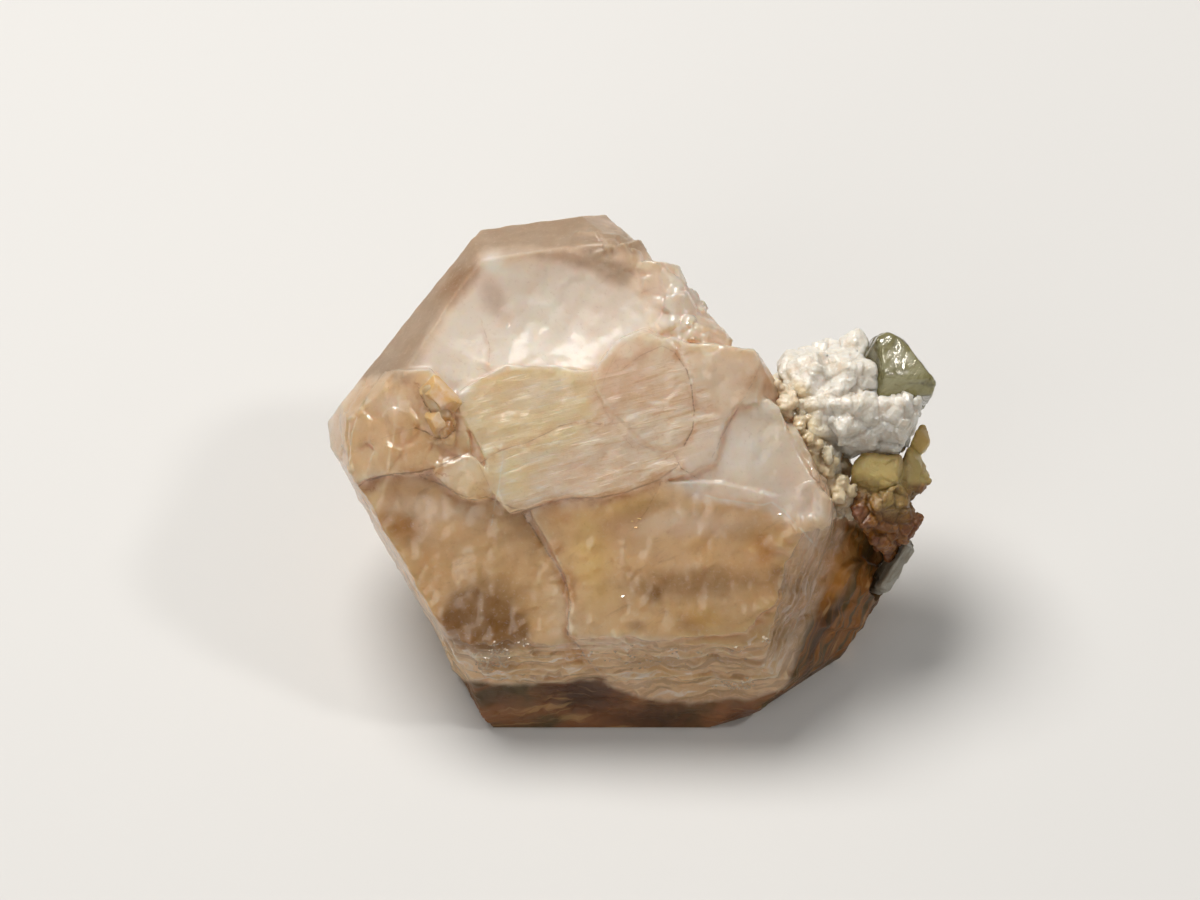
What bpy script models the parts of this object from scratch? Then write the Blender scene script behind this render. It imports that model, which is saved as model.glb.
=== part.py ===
"""A stubby pink apatite crystal, propped on its broken base, with white feldspar, a green crystal
and iron-stained crystals grown on its right flank.

The crystal is laid out facing up: +X to the right, +Y up its broad face and +Z out of that face.
LEAN_DEG then tips that face forward, and the broken base lies flat on the table at Z = 0.
Lengths are millimetres, turned into Blender's metres by MM.
"""

import math
import random

import bmesh
import bpy
from mathutils import Matrix, Vector

MM = 0.001
LEAN_DEG = 40.0          # how far the broad face is tipped forward from level
TABLE_DEPTH = 14.3       # from the middle of the broad face down to the table, upright
SEAT_GAP = 0.3           # between one mineral and the next
ROUGH_CUBE = 60.0        # the block that the crystal faces are planed from
LEDGES = 7               # growth ledges along the front and the right edge
LEDGE_RISE = 0.30
LEDGE_RUN_FRONT = 0.31
LEDGE_RUN_RIGHT = 0.22
SEED = 7

# A face is (azimuth, slope, rim, level): it looks towards azimuth, leans slope degrees from the
# broad face, and passes through the point rim millimetres out and level millimetres up.
TOP_FACES = [
    (0, 0, 0, 0),               # broad face
    (96, 10, 2.6, 0),           # upper slope, where the pale hollow lies
    (264, 9, 1.0, 0),           # front slope
]
GIRDLE_FACES = [
    (172, 34, 10.8, -0.5),      # left shoulder
    (178, 70, 13.0, -2.6),      # left tip
    (141.3, 62, 10.5, -1.1),    # upper left bevel
    (141.3, 90, 11.8, 0),       # upper left prism face
    (97.8, 62, 10.3, -1.3),     # top bevel
    (97.8, 90, 12.0, 0),        # top prism face
    (70, 75, 10.7, -3.6),       # top right corner
    (42, 50, 6.6, -0.7),        # upper right bevel
    (42, 90, 8.35, 0),          # upper right prism face
    (210.5, 83, 11.55, -2.5),   # left flank
    (236, 70, 14.85, -5.4),     # front left corner
    (270, 45, 9.2, -1.45),      # front rim, behind the ledges
    (339, 45, 10.7, -1.45),     # right rim, behind the ledges
    (305.5, 80, 15.35, -5.0),   # front right corner
    (288.7, 76, 15.25, -6.0),   # front right underside
    (269, 52, 12.1, -3.5),      # front bevel, below the ledges
]
STAINED_FLANK = (338, 54, 12.95, -3.5)
RIGHT_PRISM = (326, 88, 16.35, -8.0)

# Where one mineral meets the next
MATRIX_SEAT = (27.7, 80, 9.35, -1.0)  # the others' seat on the apatite
WHITE_RIM = (270, 75, -0.1, -2.0)     # lower edge of the white feldspar
WEDGE_RIM = (355, 75, 11.95, -2.0)    # right edge of the pale wedge below it
GOLD_SEAT = (335.3, 82, 13.7, -2.5)   # edge of the feldspar beside the golden grain
GREEN_FACES = [
    (185, 60, -14.5, -1.2), (30, 25, 14.5, -1.2), (300, 38, 4.75, -1.7), (180, 90, -13.5, 0),
    (151, 90, -9.55, 0), (116.6, 90, -1.25, 0), (63.4, 90, 11.75, 0), (39.2, 90, 15.25, 0),
    (347, 90, 15.7, 0), (275, 80, -1.3, -3.0), (212, 90, -13.1, 0), (0, 180, 0, -6.5),
]
BLADE_FACES = [
    (332, 95, 16.5, -5.5), (152, 85, -16.0, -5.5), (60, 80, 3.7, -5.5), (240, 80, -1.05, -6.0),
    (300, 32, 12.9, -4.9), (0, 180, 0, -8.2),
]

# How far the plates on the broad face may reach
PLATE_RIMS = [
    (172, 34, 11.2, -0.25),
    (178, 70, 13.05, -2.6),
    (210.5, 83, 11.6, -2.5),
    (141.3, 62, 10.75, -1.0),
    (339, 60, 12.6, -1.2),
    (42, 128, 9.3, -1.2),
    MATRIX_SEAT,
]

# The broken underside, seen upright on the table: (azimuth, undercut, reach at the table).
UNDERSIDE_FACES = [
    (180, 30, 7.6),
    (135, 24, 9.6),
    (92, 12, 10.0),
    (48, 20, 9.6),
    (2, 32, 12.2),
    (322, 28, 11.6),
    (232, 16, 9.4),
]


# The outlines of the growth layers and broken plates on the broad face
MIDDLE_PLATE = [
    (-7.0, 2.9), (-6.0, 3.6), (-4.6, 4.2), (-2.0, 4.1), (0.0, 4.0), (0.6, 4.9), (2.0, 6.0), (3.2, 5.7),
    (4.5, 5.3), (6.1, 5.15), (7.0, 5.05), (8.05, 4.85), (7.75, 3.4), (7.3, 2.6), (6.75, 2.25), (6.2, 0.9),
    (5.75, -0.5), (4.6, -1.1), (4.2, -1.25), (3.0, -1.5), (2.0, -2.0), (0.0, -2.45),
    (-1.5, -2.35), (-2.5, -2.5), (-3.6, -2.95), (-4.4, -3.1), (-5.1, -2.4), (-6.0, 0.2), (-7.0, 2.0),
]
SIDE_PLATE = [
    (5.0, 1.5), (7.3, 2.5), (8.5, 2.55), (8.95, 2.2), (9.5, 0.5), (10.6, -1.4), (11.6, -2.7), (11.5, -4.0),
    (9.7, -4.1), (9.3, -3.3), (8.4, -2.75), (7.2, -2.5), (6.0, -2.45), (5.0, -2.1), (4.3, -1.3),
]
LEFT_PLATE = [
    (-12.4, 1.2), (-11.9, 2.9), (-10.9, 3.95), (-8.5, 4.1), (-7.25, 2.8), (-6.5, 0.6), (-6.4, -0.1),
    (-7.7, -0.75), (-9.0, -1.1), (-10.0, -1.2), (-11.4, -1.35), (-12.1, -1.75), (-12.65, -0.9),
    (-12.9, 0.0),
]
LEAF_PLATE = [
    (-8.5, -1.0), (-7.5, -0.4), (-6.4, -0.1), (-5.65, -1.0), (-5.2, -2.3), (-6.0, -2.5), (-7.0, -2.3),
    (-7.9, -1.6),
]
FRONT_PLATE = [
    (-3.5, -3.0), (-2.7, -4.5), (-2.0, -5.75), (-1.5, -7.0), (-1.4, -7.75), (-1.6, -9.0), (-1.2, -9.6),
    (0.0, -9.5), (3.5, -9.5), (7.3, -9.1), (8.7, -7.6), (10.0, -4.4), (10.3, -2.6), (6.0, -1.5),
    (0.0, -1.5),
]
ROUND_PLATE = [
    (0.4, 4.9), (1.0, 5.7), (2.0, 6.0), (2.9, 5.8), (3.9, 4.9), (4.6, 3.9), (4.75, 2.2), (4.65, 0.6),
    (3.2, 0.1), (2.0, 0.5), (1.3, 1.2), (0.4, 2.0), (-0.3, 3.2), (-0.2, 4.2),
]

# Broken grains along the upper right shoulder: (x, y, z, size)
SHOULDER_GRAINS = [
    (0.1, 9.9, -2.5, 1.5),
    (1.2, 9.0, -2.2, 1.5),
    (2.7, 8.2, -2.0, 1.7),
    (3.7, 7.0, -1.8, 1.6),
    (4.6, 5.8, -1.6, 1.6),
    (2.2, 7.4, -1.7, 1.4),
    (5.2, 4.8, -1.4, 1.5),
]

# Small prisms lying on the left plate: (middle, radius, length, aim)
SMALL_PRISMS = [
    ((-8.05, 2.2, 0.35), 0.52, 2.9, (0.42, -1.0, 0.0)),
    ((-7.6, 1.0, 0.45), 0.42, 1.5, (0.35, -1.0, 0.05)),
]

# Grains of the white feldspar: (the seat below it, (middle, size, number of faces))
FELDSPAR_GRAINS = [
    (WHITE_RIM, ((12.2, 2.2, -4.4), (3.9, 2.9, 3.9), 20)),
    (WHITE_RIM, ((14.3, 1.9, -4.6), (2.5, 2.2, 3.4), 16)),
    (WEDGE_RIM, ((10.6, 0.6, -4.0), (2.2, 3.0, 3.2), 16)),
    (WEDGE_RIM, ((11.4, -1.4, -3.9), (1.2, 2.6, 2.6), 12)),
    (WHITE_RIM, ((10.8, 3.4, -2.4), (1.5, 1.5, 1.3), 11)),
    (WHITE_RIM, ((12.4, 3.3, -2.2), (1.4, 1.5, 1.4), 11)),
    (WHITE_RIM, ((12.9, 1.6, -2.0), (1.5, 1.3, 1.3), 11)),
    (WHITE_RIM, ((15.0, 1.9, -2.6), (1.5, 1.3, 1.4), 11)),
    (WHITE_RIM, ((11.2, 1.5, -2.2), (1.3, 1.2, 1.2), 10)),
    (WEDGE_RIM, ((10.9, -0.4, -1.9), (1.1, 1.2, 1.0), 10)),
]

# Grains of the iron-stained cluster: (the seats beside it, (middle, size, number of faces))
BELOW_FELDSPAR = (WHITE_RIM, WEDGE_RIM)
BESIDE_FELDSPAR = (GOLD_SEAT,)
CLUSTER_GRAINS = [
    (BELOW_FELDSPAR, ((14.0, -2.7, -4.8), (2.1, 2.6, 2.6), 18)),
    (BELOW_FELDSPAR, ((13.7, -0.95, -3.1), (1.9, 1.3, 1.4), 24)),
    (BELOW_FELDSPAR, ((14.2, -4.4, -5.4), (1.5, 1.3, 1.9), 14)),
    (BELOW_FELDSPAR, ((13.2, -3.3, -2.9), (0.95, 1.1, 1.0), 10)),
    (BELOW_FELDSPAR, ((14.6, -2.6, -3.0), (1.1, 1.0, 1.0), 10)),
    (BELOW_FELDSPAR, ((15.2, -3.6, -3.9), (0.8, 1.1, 1.0), 10)),
    (BELOW_FELDSPAR, ((14.2, -4.2, -3.7), (0.9, 0.9, 0.9), 10)),
    (BESIDE_FELDSPAR, ((15.5, -1.0, -4.6), (0.75, 2.0, 1.4), 12)),
    (BESIDE_FELDSPAR, ((16.0, 0.6, -4.9), (0.75, 0.9, 0.9), 14)),
]


def clear_scene():
    for thing in list(bpy.data.objects):
        bpy.data.objects.remove(thing)


def new_collection(name):
    made = bpy.data.collections.new(name)
    bpy.context.scene.collection.children.link(made)
    return made


def new_material(name, colour, roughness):
    made = bpy.data.materials.new(name)
    made.use_nodes = True
    shader = made.node_tree.nodes["Principled BSDF"]
    shader.inputs["Base Color"].default_value = (*colour, 1.0)
    shader.inputs["Roughness"].default_value = roughness
    shader.inputs["Metallic"].default_value = 0.0
    return made


def face_normal(azimuth, slope):
    across = math.radians(azimuth)
    down = math.radians(slope)
    return Vector((math.sin(down) * math.cos(across), math.sin(down) * math.sin(across), math.cos(down)))


def face_plane(face, offset=0.0):
    """A point and the normal of a crystal face, the face pushed out by offset."""
    azimuth, slope, rim, level = face
    across = math.radians(azimuth)
    normal = face_normal(azimuth, slope)
    return Vector((rim * math.cos(across), rim * math.sin(across), level)) + normal * offset, normal


def tipped():
    return Matrix.Rotation(math.radians(LEAN_DEG), 3, "X")


def table_plane(offset=0.0):
    normal = tipped().inverted() @ Vector((0, 0, -1))
    return normal * (TABLE_DEPTH + offset), normal


def underside_plane(face):
    """A face of the broken underside, given upright, as a point and normal of the tipped layout."""
    azimuth, undercut, reach = face
    normal = face_normal(azimuth, 90 + undercut)
    across = math.radians(azimuth)
    point = Vector((reach * math.cos(across), reach * math.sin(across), -TABLE_DEPTH))
    upright_to_layout = tipped().inverted()
    return upright_to_layout @ point, upright_to_layout @ normal


def flipped(plane):
    point, normal = plane
    return point, -normal


def plane_off(form, plane):
    """Takes away what lies beyond a plane, and closes the cut with one flat face."""
    point, normal = plane
    everything = form.verts[:] + form.edges[:] + form.faces[:]
    cut = bmesh.ops.bisect_plane(
        form, geom=everything, plane_co=point, plane_no=normal, clear_outer=True, dist=1e-5
    )
    rim = [part for part in cut["geom_cut"] if isinstance(part, bmesh.types.BMEdge)]
    if rim:
        bmesh.ops.edgeloop_fill(form, edges=rim)


def to_object(name, form, home, material=None):
    """Turns a form in millimetres into an object in metres, in the tipped frame."""
    bmesh.ops.scale(form, vec=(MM, MM, MM), verts=form.verts[:])
    bmesh.ops.recalc_face_normals(form, faces=form.faces[:])
    mesh = bpy.data.meshes.new(name)
    form.to_mesh(mesh)
    form.free()
    made = bpy.data.objects.new(name, mesh)
    made.parent = bpy.data.objects["rest_frame"]
    home.objects.link(made)
    if material:
        mesh.materials.append(material)
    return made


def planed_block(planes, size=ROUGH_CUBE, middle=(0, 0, 0)):
    """A convex crystal: a cube planed by flat faces."""
    form = bmesh.new()
    bmesh.ops.create_cube(form, size=size, matrix=Matrix.Translation(middle))
    for plane in planes:
        plane_off(form, plane)
    return form


def as_helper(thing):
    thing.hide_render = True
    thing.display_type = "WIRE"
    return thing


def boolean(target, other, operation):
    cut = target.modifiers.new(f"{operation.lower()} {other.name}", "BOOLEAN")
    cut.operation = operation
    cut.object = other


def plate(name, outline, top, thickness, hinge=0.0, tilt=0.0, smooth=False):
    """A flat growth layer with the given outline, its top at the given level.
    It is tilted about the line Y = hinge, so that it lies along a sloping face."""
    drawing = bpy.data.curves.new(name, "CURVE")
    drawing.dimensions = "2D"
    drawing.fill_mode = "BOTH"
    drawing.extrude = thickness / 2
    drawing.resolution_u = 3
    line = drawing.splines.new("NURBS" if smooth else "POLY")
    line.points.add(len(outline) - 1)
    for point, (x, y) in zip(line.points, outline):
        point.co = (x, y - hinge, 0, 1)
    line.use_cyclic_u = True
    line.order_u = 3
    drawn = bpy.data.objects.new(name, drawing)
    HELPERS.objects.link(drawn)
    bpy.context.view_layer.update()
    graph = bpy.context.evaluated_depsgraph_get()
    mesh = bpy.data.meshes.new_from_object(drawn.evaluated_get(graph))
    bpy.data.objects.remove(drawn)
    form = bmesh.new()
    form.from_mesh(mesh)
    bmesh.ops.remove_doubles(form, verts=form.verts[:], dist=1e-4)
    turn = Matrix.Rotation(math.radians(tilt), 4, "X")
    place = Matrix.Translation((0, hinge, top - thickness / 2)) @ turn
    bmesh.ops.transform(form, matrix=place, verts=form.verts[:])
    for face in PLATE_RIMS:
        plane_off(form, face_plane(face))
    return as_helper(to_object(name, form, HELPERS))


def rounded(middle, size, tilt=0.0):
    """A flattened ball, tipped back by tilt degrees."""
    form = bmesh.new()
    bmesh.ops.create_icosphere(form, subdivisions=4, radius=1.0)
    turn = Matrix.Rotation(math.radians(-tilt), 4, "X")
    place = Matrix.Translation(middle) @ turn @ Matrix.Diagonal((*size, 1))
    bmesh.ops.transform(form, matrix=place, verts=form.verts[:])
    return form


def hexagonal_prism(middle, radius, length, aim, tips=0.35):
    """A small six-sided crystal along aim, with blunt pyramid ends."""
    axis = Vector(aim).normalized()
    form = bmesh.new()
    bmesh.ops.create_cone(
        form, cap_ends=True, segments=6, radius1=radius, radius2=radius, depth=length,
        matrix=Matrix.Translation(middle) @ axis.to_track_quat("Z", "Y").to_matrix().to_4x4(),
    )
    side = axis.orthogonal().normalized()
    for step in range(6):
        around = Matrix.Rotation(math.radians(60 * step), 3, axis) @ side
        for end in (1, -1):
            normal = (around + axis * end * 1.2).normalized()
            point = Vector(middle) + axis * end * length * 0.5 * (1 - tips * 0.45) + around * radius * 0.55
            plane_off(form, (point, normal))
    return form


def jittered_planes(random_source, middle, size, count):
    """Flat faces all round a point, for a broken or cleaved grain."""
    planes = []
    for step in range(count):
        height = 1 - 2 * (step + 0.5) / count
        turn = step * 2.39996 + random_source.uniform(-0.4, 0.4)
        flat = math.sqrt(1 - height * height)
        normal = Vector((flat * math.cos(turn), flat * math.sin(turn), height))
        reach = random_source.uniform(0.78, 1.0)
        planes.append((Vector(middle) + Vector(n * s for n, s in zip(normal, size)) * reach, normal))
    return planes


def ledge_block(step, random_source):
    """The crystal down to one growth ledge: each lower ledge reaches further out."""
    front = 9.75 + step * LEDGE_RUN_FRONT
    right = 11.1 + step * LEDGE_RUN_RIGHT
    drop = -step * LEDGE_RISE
    hidden = 0.06 * step
    faces = [
        (264 + random_source.uniform(-0.25, 0.25), 9, 1.0, drop),
        (0, 0, 0, -0.05 + drop * 0.9),
        (270 + random_source.uniform(-1.0, 1.0), 82, front, drop - 1.4),
        (339 + random_source.uniform(-1.2, 1.2), 80, right, drop - 1.2),
        (304, 76, 13.6 + step * 0.2, drop - 1.4),
        (210.5, 80, 10.9 - hidden, -1.5),
        (175, 80, 10.5 - hidden, -1.5),
        (90, 60, 1.0 - hidden, -0.4),
        (27.7, 84, 9.1 - hidden, 0),
        (0, 180, 0, drop - 3.6),
    ]
    return planed_block([face_plane(face) for face in faces])


def horn():
    """The upturned corner over the feldspar, with its slanting broken side."""
    return planed_block([
        face_plane((0, 0, 0, 0.4)),
        face_plane((352, 52, 7.3, 0.4)),
        face_plane((20, 92, 9.6, 0)),
        face_plane((85, 92, 5.65, 0)),
        face_plane((280, 80, -0.9, 0)),
        face_plane((200, 90, -6.3, 0)),
        face_plane((42, 128, 9.3, -1.2)),
        face_plane((0, 180, 0, -3.2)),
        face_plane(MATRIX_SEAT),
    ])


def stained_lobe():
    """The rounded foot of the right flank, below the stained face."""
    return planed_block([
        face_plane((337, 43, 13.2, -3.9)),
        face_plane((326, 86, 16.2, -7.0)),
        face_plane((308, 76, 15.9, -6.5)),
        face_plane((276, 80, 10.6, -6.5)),
        face_plane((62, 45, 0.6, -4.6)),
        face_plane((62, 88, 1.4, -6.0)),
        face_plane((158, 90, -12.0, 0)),
        face_plane((0, 180, 0, -9.6)),
        underside_plane((322, 28, 11.2)),
    ])


def grow(body, name, form, operation="UNION"):
    """Joins a form to the body, or takes it away."""
    boolean(body, as_helper(to_object(name, form, HELPERS)), operation)


def apatite(home, material):
    girdle = [face_plane(face) for face in TOP_FACES + GIRDLE_FACES]
    girdle += [face_plane(face) for face in (STAINED_FLANK, RIGHT_PRISM, MATRIX_SEAT)]
    girdle += [underside_plane(face) for face in UNDERSIDE_FACES]
    body = to_object("apatite_crystal", planed_block(girdle + [table_plane()]), home, material)
    random_source = random.Random(SEED)
    for step in range(LEDGES):
        grow(body, f"ledge_{step}", ledge_block(step, random_source))
    for step, (x, y, z, size) in enumerate(SHOULDER_GRAINS):
        planes = jittered_planes(random_source, (x, y, z), (size, size * 0.85, size), 12)
        grow(body, f"shoulder_{step}", planed_block(planes, 8, (x, y, z)))
    grow(body, "pale_hollow", rounded((-3.4, 8.6, 8.4), (16.5, 8.8, 10.0), tilt=10.0), "DIFFERENCE")
    grow(body, "stained_lobe", stained_lobe())

    boolean(body, plate("front_plate", FRONT_PLATE, 0.42, 1.6, hinge=-1.0, tilt=9.0), "UNION")
    boolean(body, plate("side_plate", SIDE_PLATE, 0.15, 3.4), "UNION")
    grow(body, "horn", horn())
    boolean(body, plate("middle_plate", MIDDLE_PLATE, 0.45, 3.0), "UNION")
    boolean(body, plate("round_plate", ROUND_PLATE, 0.6, 1.0, smooth=True), "UNION")
    boolean(body, plate("left_plate", LEFT_PLATE, 0.3, 1.7), "UNION")
    boolean(body, plate("leaf_plate", LEAF_PLATE, 0.42, 1.3, smooth=True), "UNION")

    for step, (middle, radius, length, aim) in enumerate(SMALL_PRISMS):
        grow(body, f"small_prism_{step}", hexagonal_prism(middle, radius, length, aim))
    grow(body, "blade_pocket", crystal(BLADE_FACES, (15, -6, -7), SEAT_GAP), "DIFFERENCE")
    return body


def crystal(faces, middle, offset=0.0):
    """A small crystal planed to its faces, each pushed out by offset."""
    return planed_block([face_plane(face, offset) for face in faces], 12, middle)


def grain(random_source, shape, seats):
    """A cleaved grain, given as (middle, size, faces), cut flat where it meets its neighbours."""
    middle, size, faces = shape
    planes = jittered_planes(random_source, middle, size, faces)
    return planed_block(planes + seats, 12, middle)


def feldspar(home, material):
    """The white lump: large cleaved grains with smaller ones on them."""
    random_source = random.Random(SEED + 1)
    body = None
    for step, (rim, shape) in enumerate(FELDSPAR_GRAINS):
        recess = 0.02 * step
        seats = [face_plane(seat, -recess) for seat in (GOLD_SEAT, rim)]
        seats.append(flipped(face_plane(MATRIX_SEAT, SEAT_GAP + recess)))
        form = grain(random_source, shape, seats)
        if body is None:
            body = to_object("feldspar_matrix", form, home, material)
        else:
            grow(body, f"feldspar_grain_{step}", form)
    grow(body, "white_tip", hexagonal_prism((12.95, 4.7, -4.4), 0.75, 3.4, (0.12, 1.0, 0.0), tips=0.9))
    grow(body, "green_pocket", crystal(GREEN_FACES, (15, 4, -4), SEAT_GAP), "DIFFERENCE")
    return body


def stained_cluster(home, material):
    """Iron-stained grains below the feldspar, with a dome of clear olive and a golden grain behind."""
    random_source = random.Random(SEED + 2)
    body = None
    for step, (rims, shape) in enumerate(CLUSTER_GRAINS):
        recess = 0.02 * step
        seats = [flipped(face_plane(rim, SEAT_GAP + recess)) for rim in (*rims, MATRIX_SEAT)]
        form = grain(random_source, shape, seats)
        if body is None:
            body = to_object("iron_stained_cluster", form, home, material)
        else:
            grow(body, f"cluster_grain_{step}", form)
    flank = [face_plane(face, SEAT_GAP) for face in (STAINED_FLANK, RIGHT_PRISM)]
    flank.append(face_plane((158, 90, -9.0, 0)))
    grow(body, "flank_room", planed_block(flank), "DIFFERENCE")
    grow(body, "blade_room", crystal(BLADE_FACES, (15, -6, -7), SEAT_GAP), "DIFFERENCE")
    return body


def centre_over_origin(rest_frame, parts):
    """Moves the specimen along the table, so that the middle of its outer size is at X = Y = 0."""
    bpy.context.view_layer.update()
    graph = bpy.context.evaluated_depsgraph_get()
    for axis in (0, 1):
        reach = []
        for piece in parts.objects:
            grown = piece.evaluated_get(graph)
            reach += [(piece.matrix_world @ vertex.co)[axis] for vertex in grown.data.vertices]
        rest_frame.location[axis] -= (min(reach) + max(reach)) / 2


def main():
    clear_scene()
    rest_frame = bpy.data.objects.new("rest_frame", None)
    bpy.context.scene.collection.objects.link(rest_frame)
    rest_frame.rotation_euler = (math.radians(LEAN_DEG), 0, 0)
    rest_frame.location = (0, 0, TABLE_DEPTH * MM)
    parts = new_collection("apatite_specimen")
    apatite(parts, new_material("pink_apatite", (0.62, 0.42, 0.30), 0.3))
    feldspar(parts, new_material("white_feldspar", (0.72, 0.66, 0.58), 0.5))
    green = new_material("pale_green_crystal", (0.45, 0.48, 0.30), 0.15)
    to_object("green_crystal", crystal(GREEN_FACES, (15, 4, -4)), parts, green)
    stained_cluster(parts, new_material("iron_stained_grains", (0.40, 0.20, 0.05), 0.4))
    pale = new_material("pale_blade", (0.60, 0.50, 0.38), 0.4)
    to_object("pale_blade", crystal(BLADE_FACES, (15, -6, -7)), parts, pale)
    centre_over_origin(rest_frame, parts)


HELPERS = new_collection("growth_shapes")
main()
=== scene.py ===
"""A stubby pink apatite crystal with white feldspar, a green crystal and iron-stained grains.

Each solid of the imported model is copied, turned to lie with its broad face up, and worked in
millimetres. Then it is stained by named marks on that face, and set back in its place.
"""

import itertools
import math

import bpy
import numpy as np
from bpy.props import FloatProperty, FloatVectorProperty, IntProperty, PointerProperty
from mathutils import Matrix, Vector


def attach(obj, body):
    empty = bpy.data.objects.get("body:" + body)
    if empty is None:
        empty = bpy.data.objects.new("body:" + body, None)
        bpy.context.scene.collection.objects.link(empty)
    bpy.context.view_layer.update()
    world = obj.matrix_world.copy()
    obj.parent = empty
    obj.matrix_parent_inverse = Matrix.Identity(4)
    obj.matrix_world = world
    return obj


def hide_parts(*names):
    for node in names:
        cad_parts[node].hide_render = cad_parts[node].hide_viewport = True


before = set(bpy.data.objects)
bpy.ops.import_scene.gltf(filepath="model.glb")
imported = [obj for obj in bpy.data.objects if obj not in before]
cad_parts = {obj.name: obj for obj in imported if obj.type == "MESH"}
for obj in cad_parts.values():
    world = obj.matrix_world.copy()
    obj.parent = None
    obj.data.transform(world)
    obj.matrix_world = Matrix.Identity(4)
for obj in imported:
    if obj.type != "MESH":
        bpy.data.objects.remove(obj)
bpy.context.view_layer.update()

bl_info = {
    "name": "Apatite specimen",
    "version": (1, 0, 0),
    "blender": (4, 5, 0),
    "location": "3D View > Sidebar > Apatite",
    "description": "Finishes a pink apatite crystal and the small crystals grown on it",
    "category": "Object",
}

MM = 0.001
LEAN = math.radians(40.0)
FACE_MIDDLE = Vector((-0.0014573, -0.0034138, 0.0143))
PLACE = Matrix.Translation(FACE_MIDDLE) @ Matrix.Rotation(LEAN, 4, "X") @ Matrix.Scale(MM, 4)
EYE = 200.0              # from the eye down to the middle of the broad face, in millimetres
LAYER = 0.46             # thickness of one growth layer, in millimetres
AMBER_GRAIN = 0.75       # width of a stained grain, in millimetres
SEAM_GRAIN = 0.6         # width of the broken faces on the seam's grains, in millimetres

# Marks on the broad face: (x, y) in millimetres from its middle, as the eye sees it.
# A hollow drawn milky white: that white is a painted reflection of the light on its smooth floor.
PALE_HOLLOW = [
    (-10, 3.9), (-9, 5.5), (-7.5, 8), (-6.5, 9.4), (-5.75, 10), (-4, 10.15), (-2.5, 10), (-0.5, 9.6),
    (1, 8.75), (2, 7.5), (2.5, 6.25), (1.5, 5.5), (0.5, 5), (0, 4), (-2, 4.1), (-4.5, 4.15), (-6, 3.6),
    (-7, 2.85), (-7.75, 3.5), (-8.5, 4),
]
CREAM_FIELD = [
    (-7.4, 3.25), (-5.9, 3.65), (-4.4, 4.2), (-1.5, 4.1), (-0.1, 3.4), (-0.2, 1.75), (-1, 0.5), (-3, -1),
    (-4, -2.5), (-5.1, -2.4), (-5.65, -1), (-6.5, 0.25), (-7.1, 1.5),
]
WAVY_FIELD = [
    (-7.25, 2.75), (-5.9, 3.65), (-4.4, 4.2), (0, 4), (4.5, 5), (6.25, 1), (4, -1.1), (2, -2), (0, -2.5),
    (-2.5, -2.5), (-3.6, -2.9), (-5.1, -2.4), (-5.65, -1), (-6.5, 0.5),
]
LEFT_BLOCK = [
    (-13.4, 0), (-13.15, 1.25), (-12, 3.5), (-8.5, 4), (-7.25, 2.75), (-6.5, 0.5), (-6.5, -0.1),
    (-7.75, -0.65), (-10, -1.2), (-11.75, -1.4), (-12.25, -1.85),
]
CLOUDY_STEP = [
    (5, 1), (6.25, 1.5), (8.5, 2.5), (9.5, 0.5), (10.75, -1.5), (11.5, -3.5), (10, -3.5), (8.5, -2.75),
    (7.25, -2.5), (6, -2.5), (5, -2.1), (4.1, -1.2),
]
FRONT_LEFT_FACE = [
    (-12.25, -2), (-10, -1.3), (-7.5, -2), (-5, -2.5), (-3.5, -3.25), (-2.75, -4.5), (-1.75, -6.5),
    (-1.5, -7.5), (-1.7, -9.1), (-3, -9.75), (-6.5, -10), (-8.5, -9.5), (-10, -6.5),
]
FRONT_RIGHT_FACE = [
    (-3.5, -3.25), (0, -2.5), (2.75, -1.7), (5, -2.2), (8.5, -2.8), (10, -4), (10.6, -5.5), (9.5, -8.5),
    (8, -10), (5, -10), (0, -10.25), (-1.15, -9.75), (-1.5, -8), (-1.75, -6.5), (-2.75, -4.5),
]
BROWN_PATCH = [
    (-7.4, -7.2), (-6.5, -6.8), (-5, -7.3), (-3.6, -8.25), (-3.4, -9.4), (-4.75, -10.1), (-6.5, -10.1),
    (-7.7, -9.6), (-8.1, -8.5),
]
# The foot under the overhang, drawn dark: partly its own red-brown stain, partly painted shade.
DARK_FOOT = [
    (-10, -11.3), (-6.9, -11.5), (-5, -11.7), (-2, -11.6), (-0.5, -11.45), (0.05, -11.3), (0.75, -12),
    (2, -12.4), (5, -12.6), (8, -12.35), (9.2, -12), (8.2, -13.1), (8, -16.5), (-10, -16.5),
]
# Drawn darker: partly the crystal's glassy brown, partly painted shade.
UPPER_BAND = [
    (-12.6, 3.4), (-12, 4.4), (-10.75, 6), (-9.25, 8.2), (-7.75, 10.2), (-6.25, 11.5), (-4, 12.3),
    (1, 12.4), (3, 11.2), (2.2, 9.9), (0.5, 9.7), (-0.5, 9.6), (-2.5, 10.0), (-4, 10.15), (-5.75, 10.0),
    (-6.5, 9.3), (-7.4, 7.9), (-8.8, 5.4), (-8.7, 4.1),
]
STAINED_FLANK = [
    (12.3, -3.6), (11.9, -4.9), (11.2, -6.9), (10.3, -9.1), (9.2, -11.95), (7.85, -12.7), (9.5, -15.5),
    (18, -15.5), (22, -7.5), (20, -1.5), (15.25, -3.5), (13.6, -4),
]
LEDGES = [
    (-8, -9.5), (-6.5, -9.9), (-3, -9.75), (-1.5, -9.5), (0, -10.25), (2, -9.6), (5, -9.9), (7.25, -9.5),
    (8.4, -9), (9.5, -7.5), (10.3, -6), (10.75, -4.75), (11.2, -4), (12.3, -3.6), (11.8, -5.5),
    (10.6, -8.8), (9.2, -11.95), (8, -12.25), (5, -12.5), (2, -12.35), (0.75, -12), (0.05, -11.3),
    (-2, -11.6), (-5, -11.7), (-6.9, -11.5),
]

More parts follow.
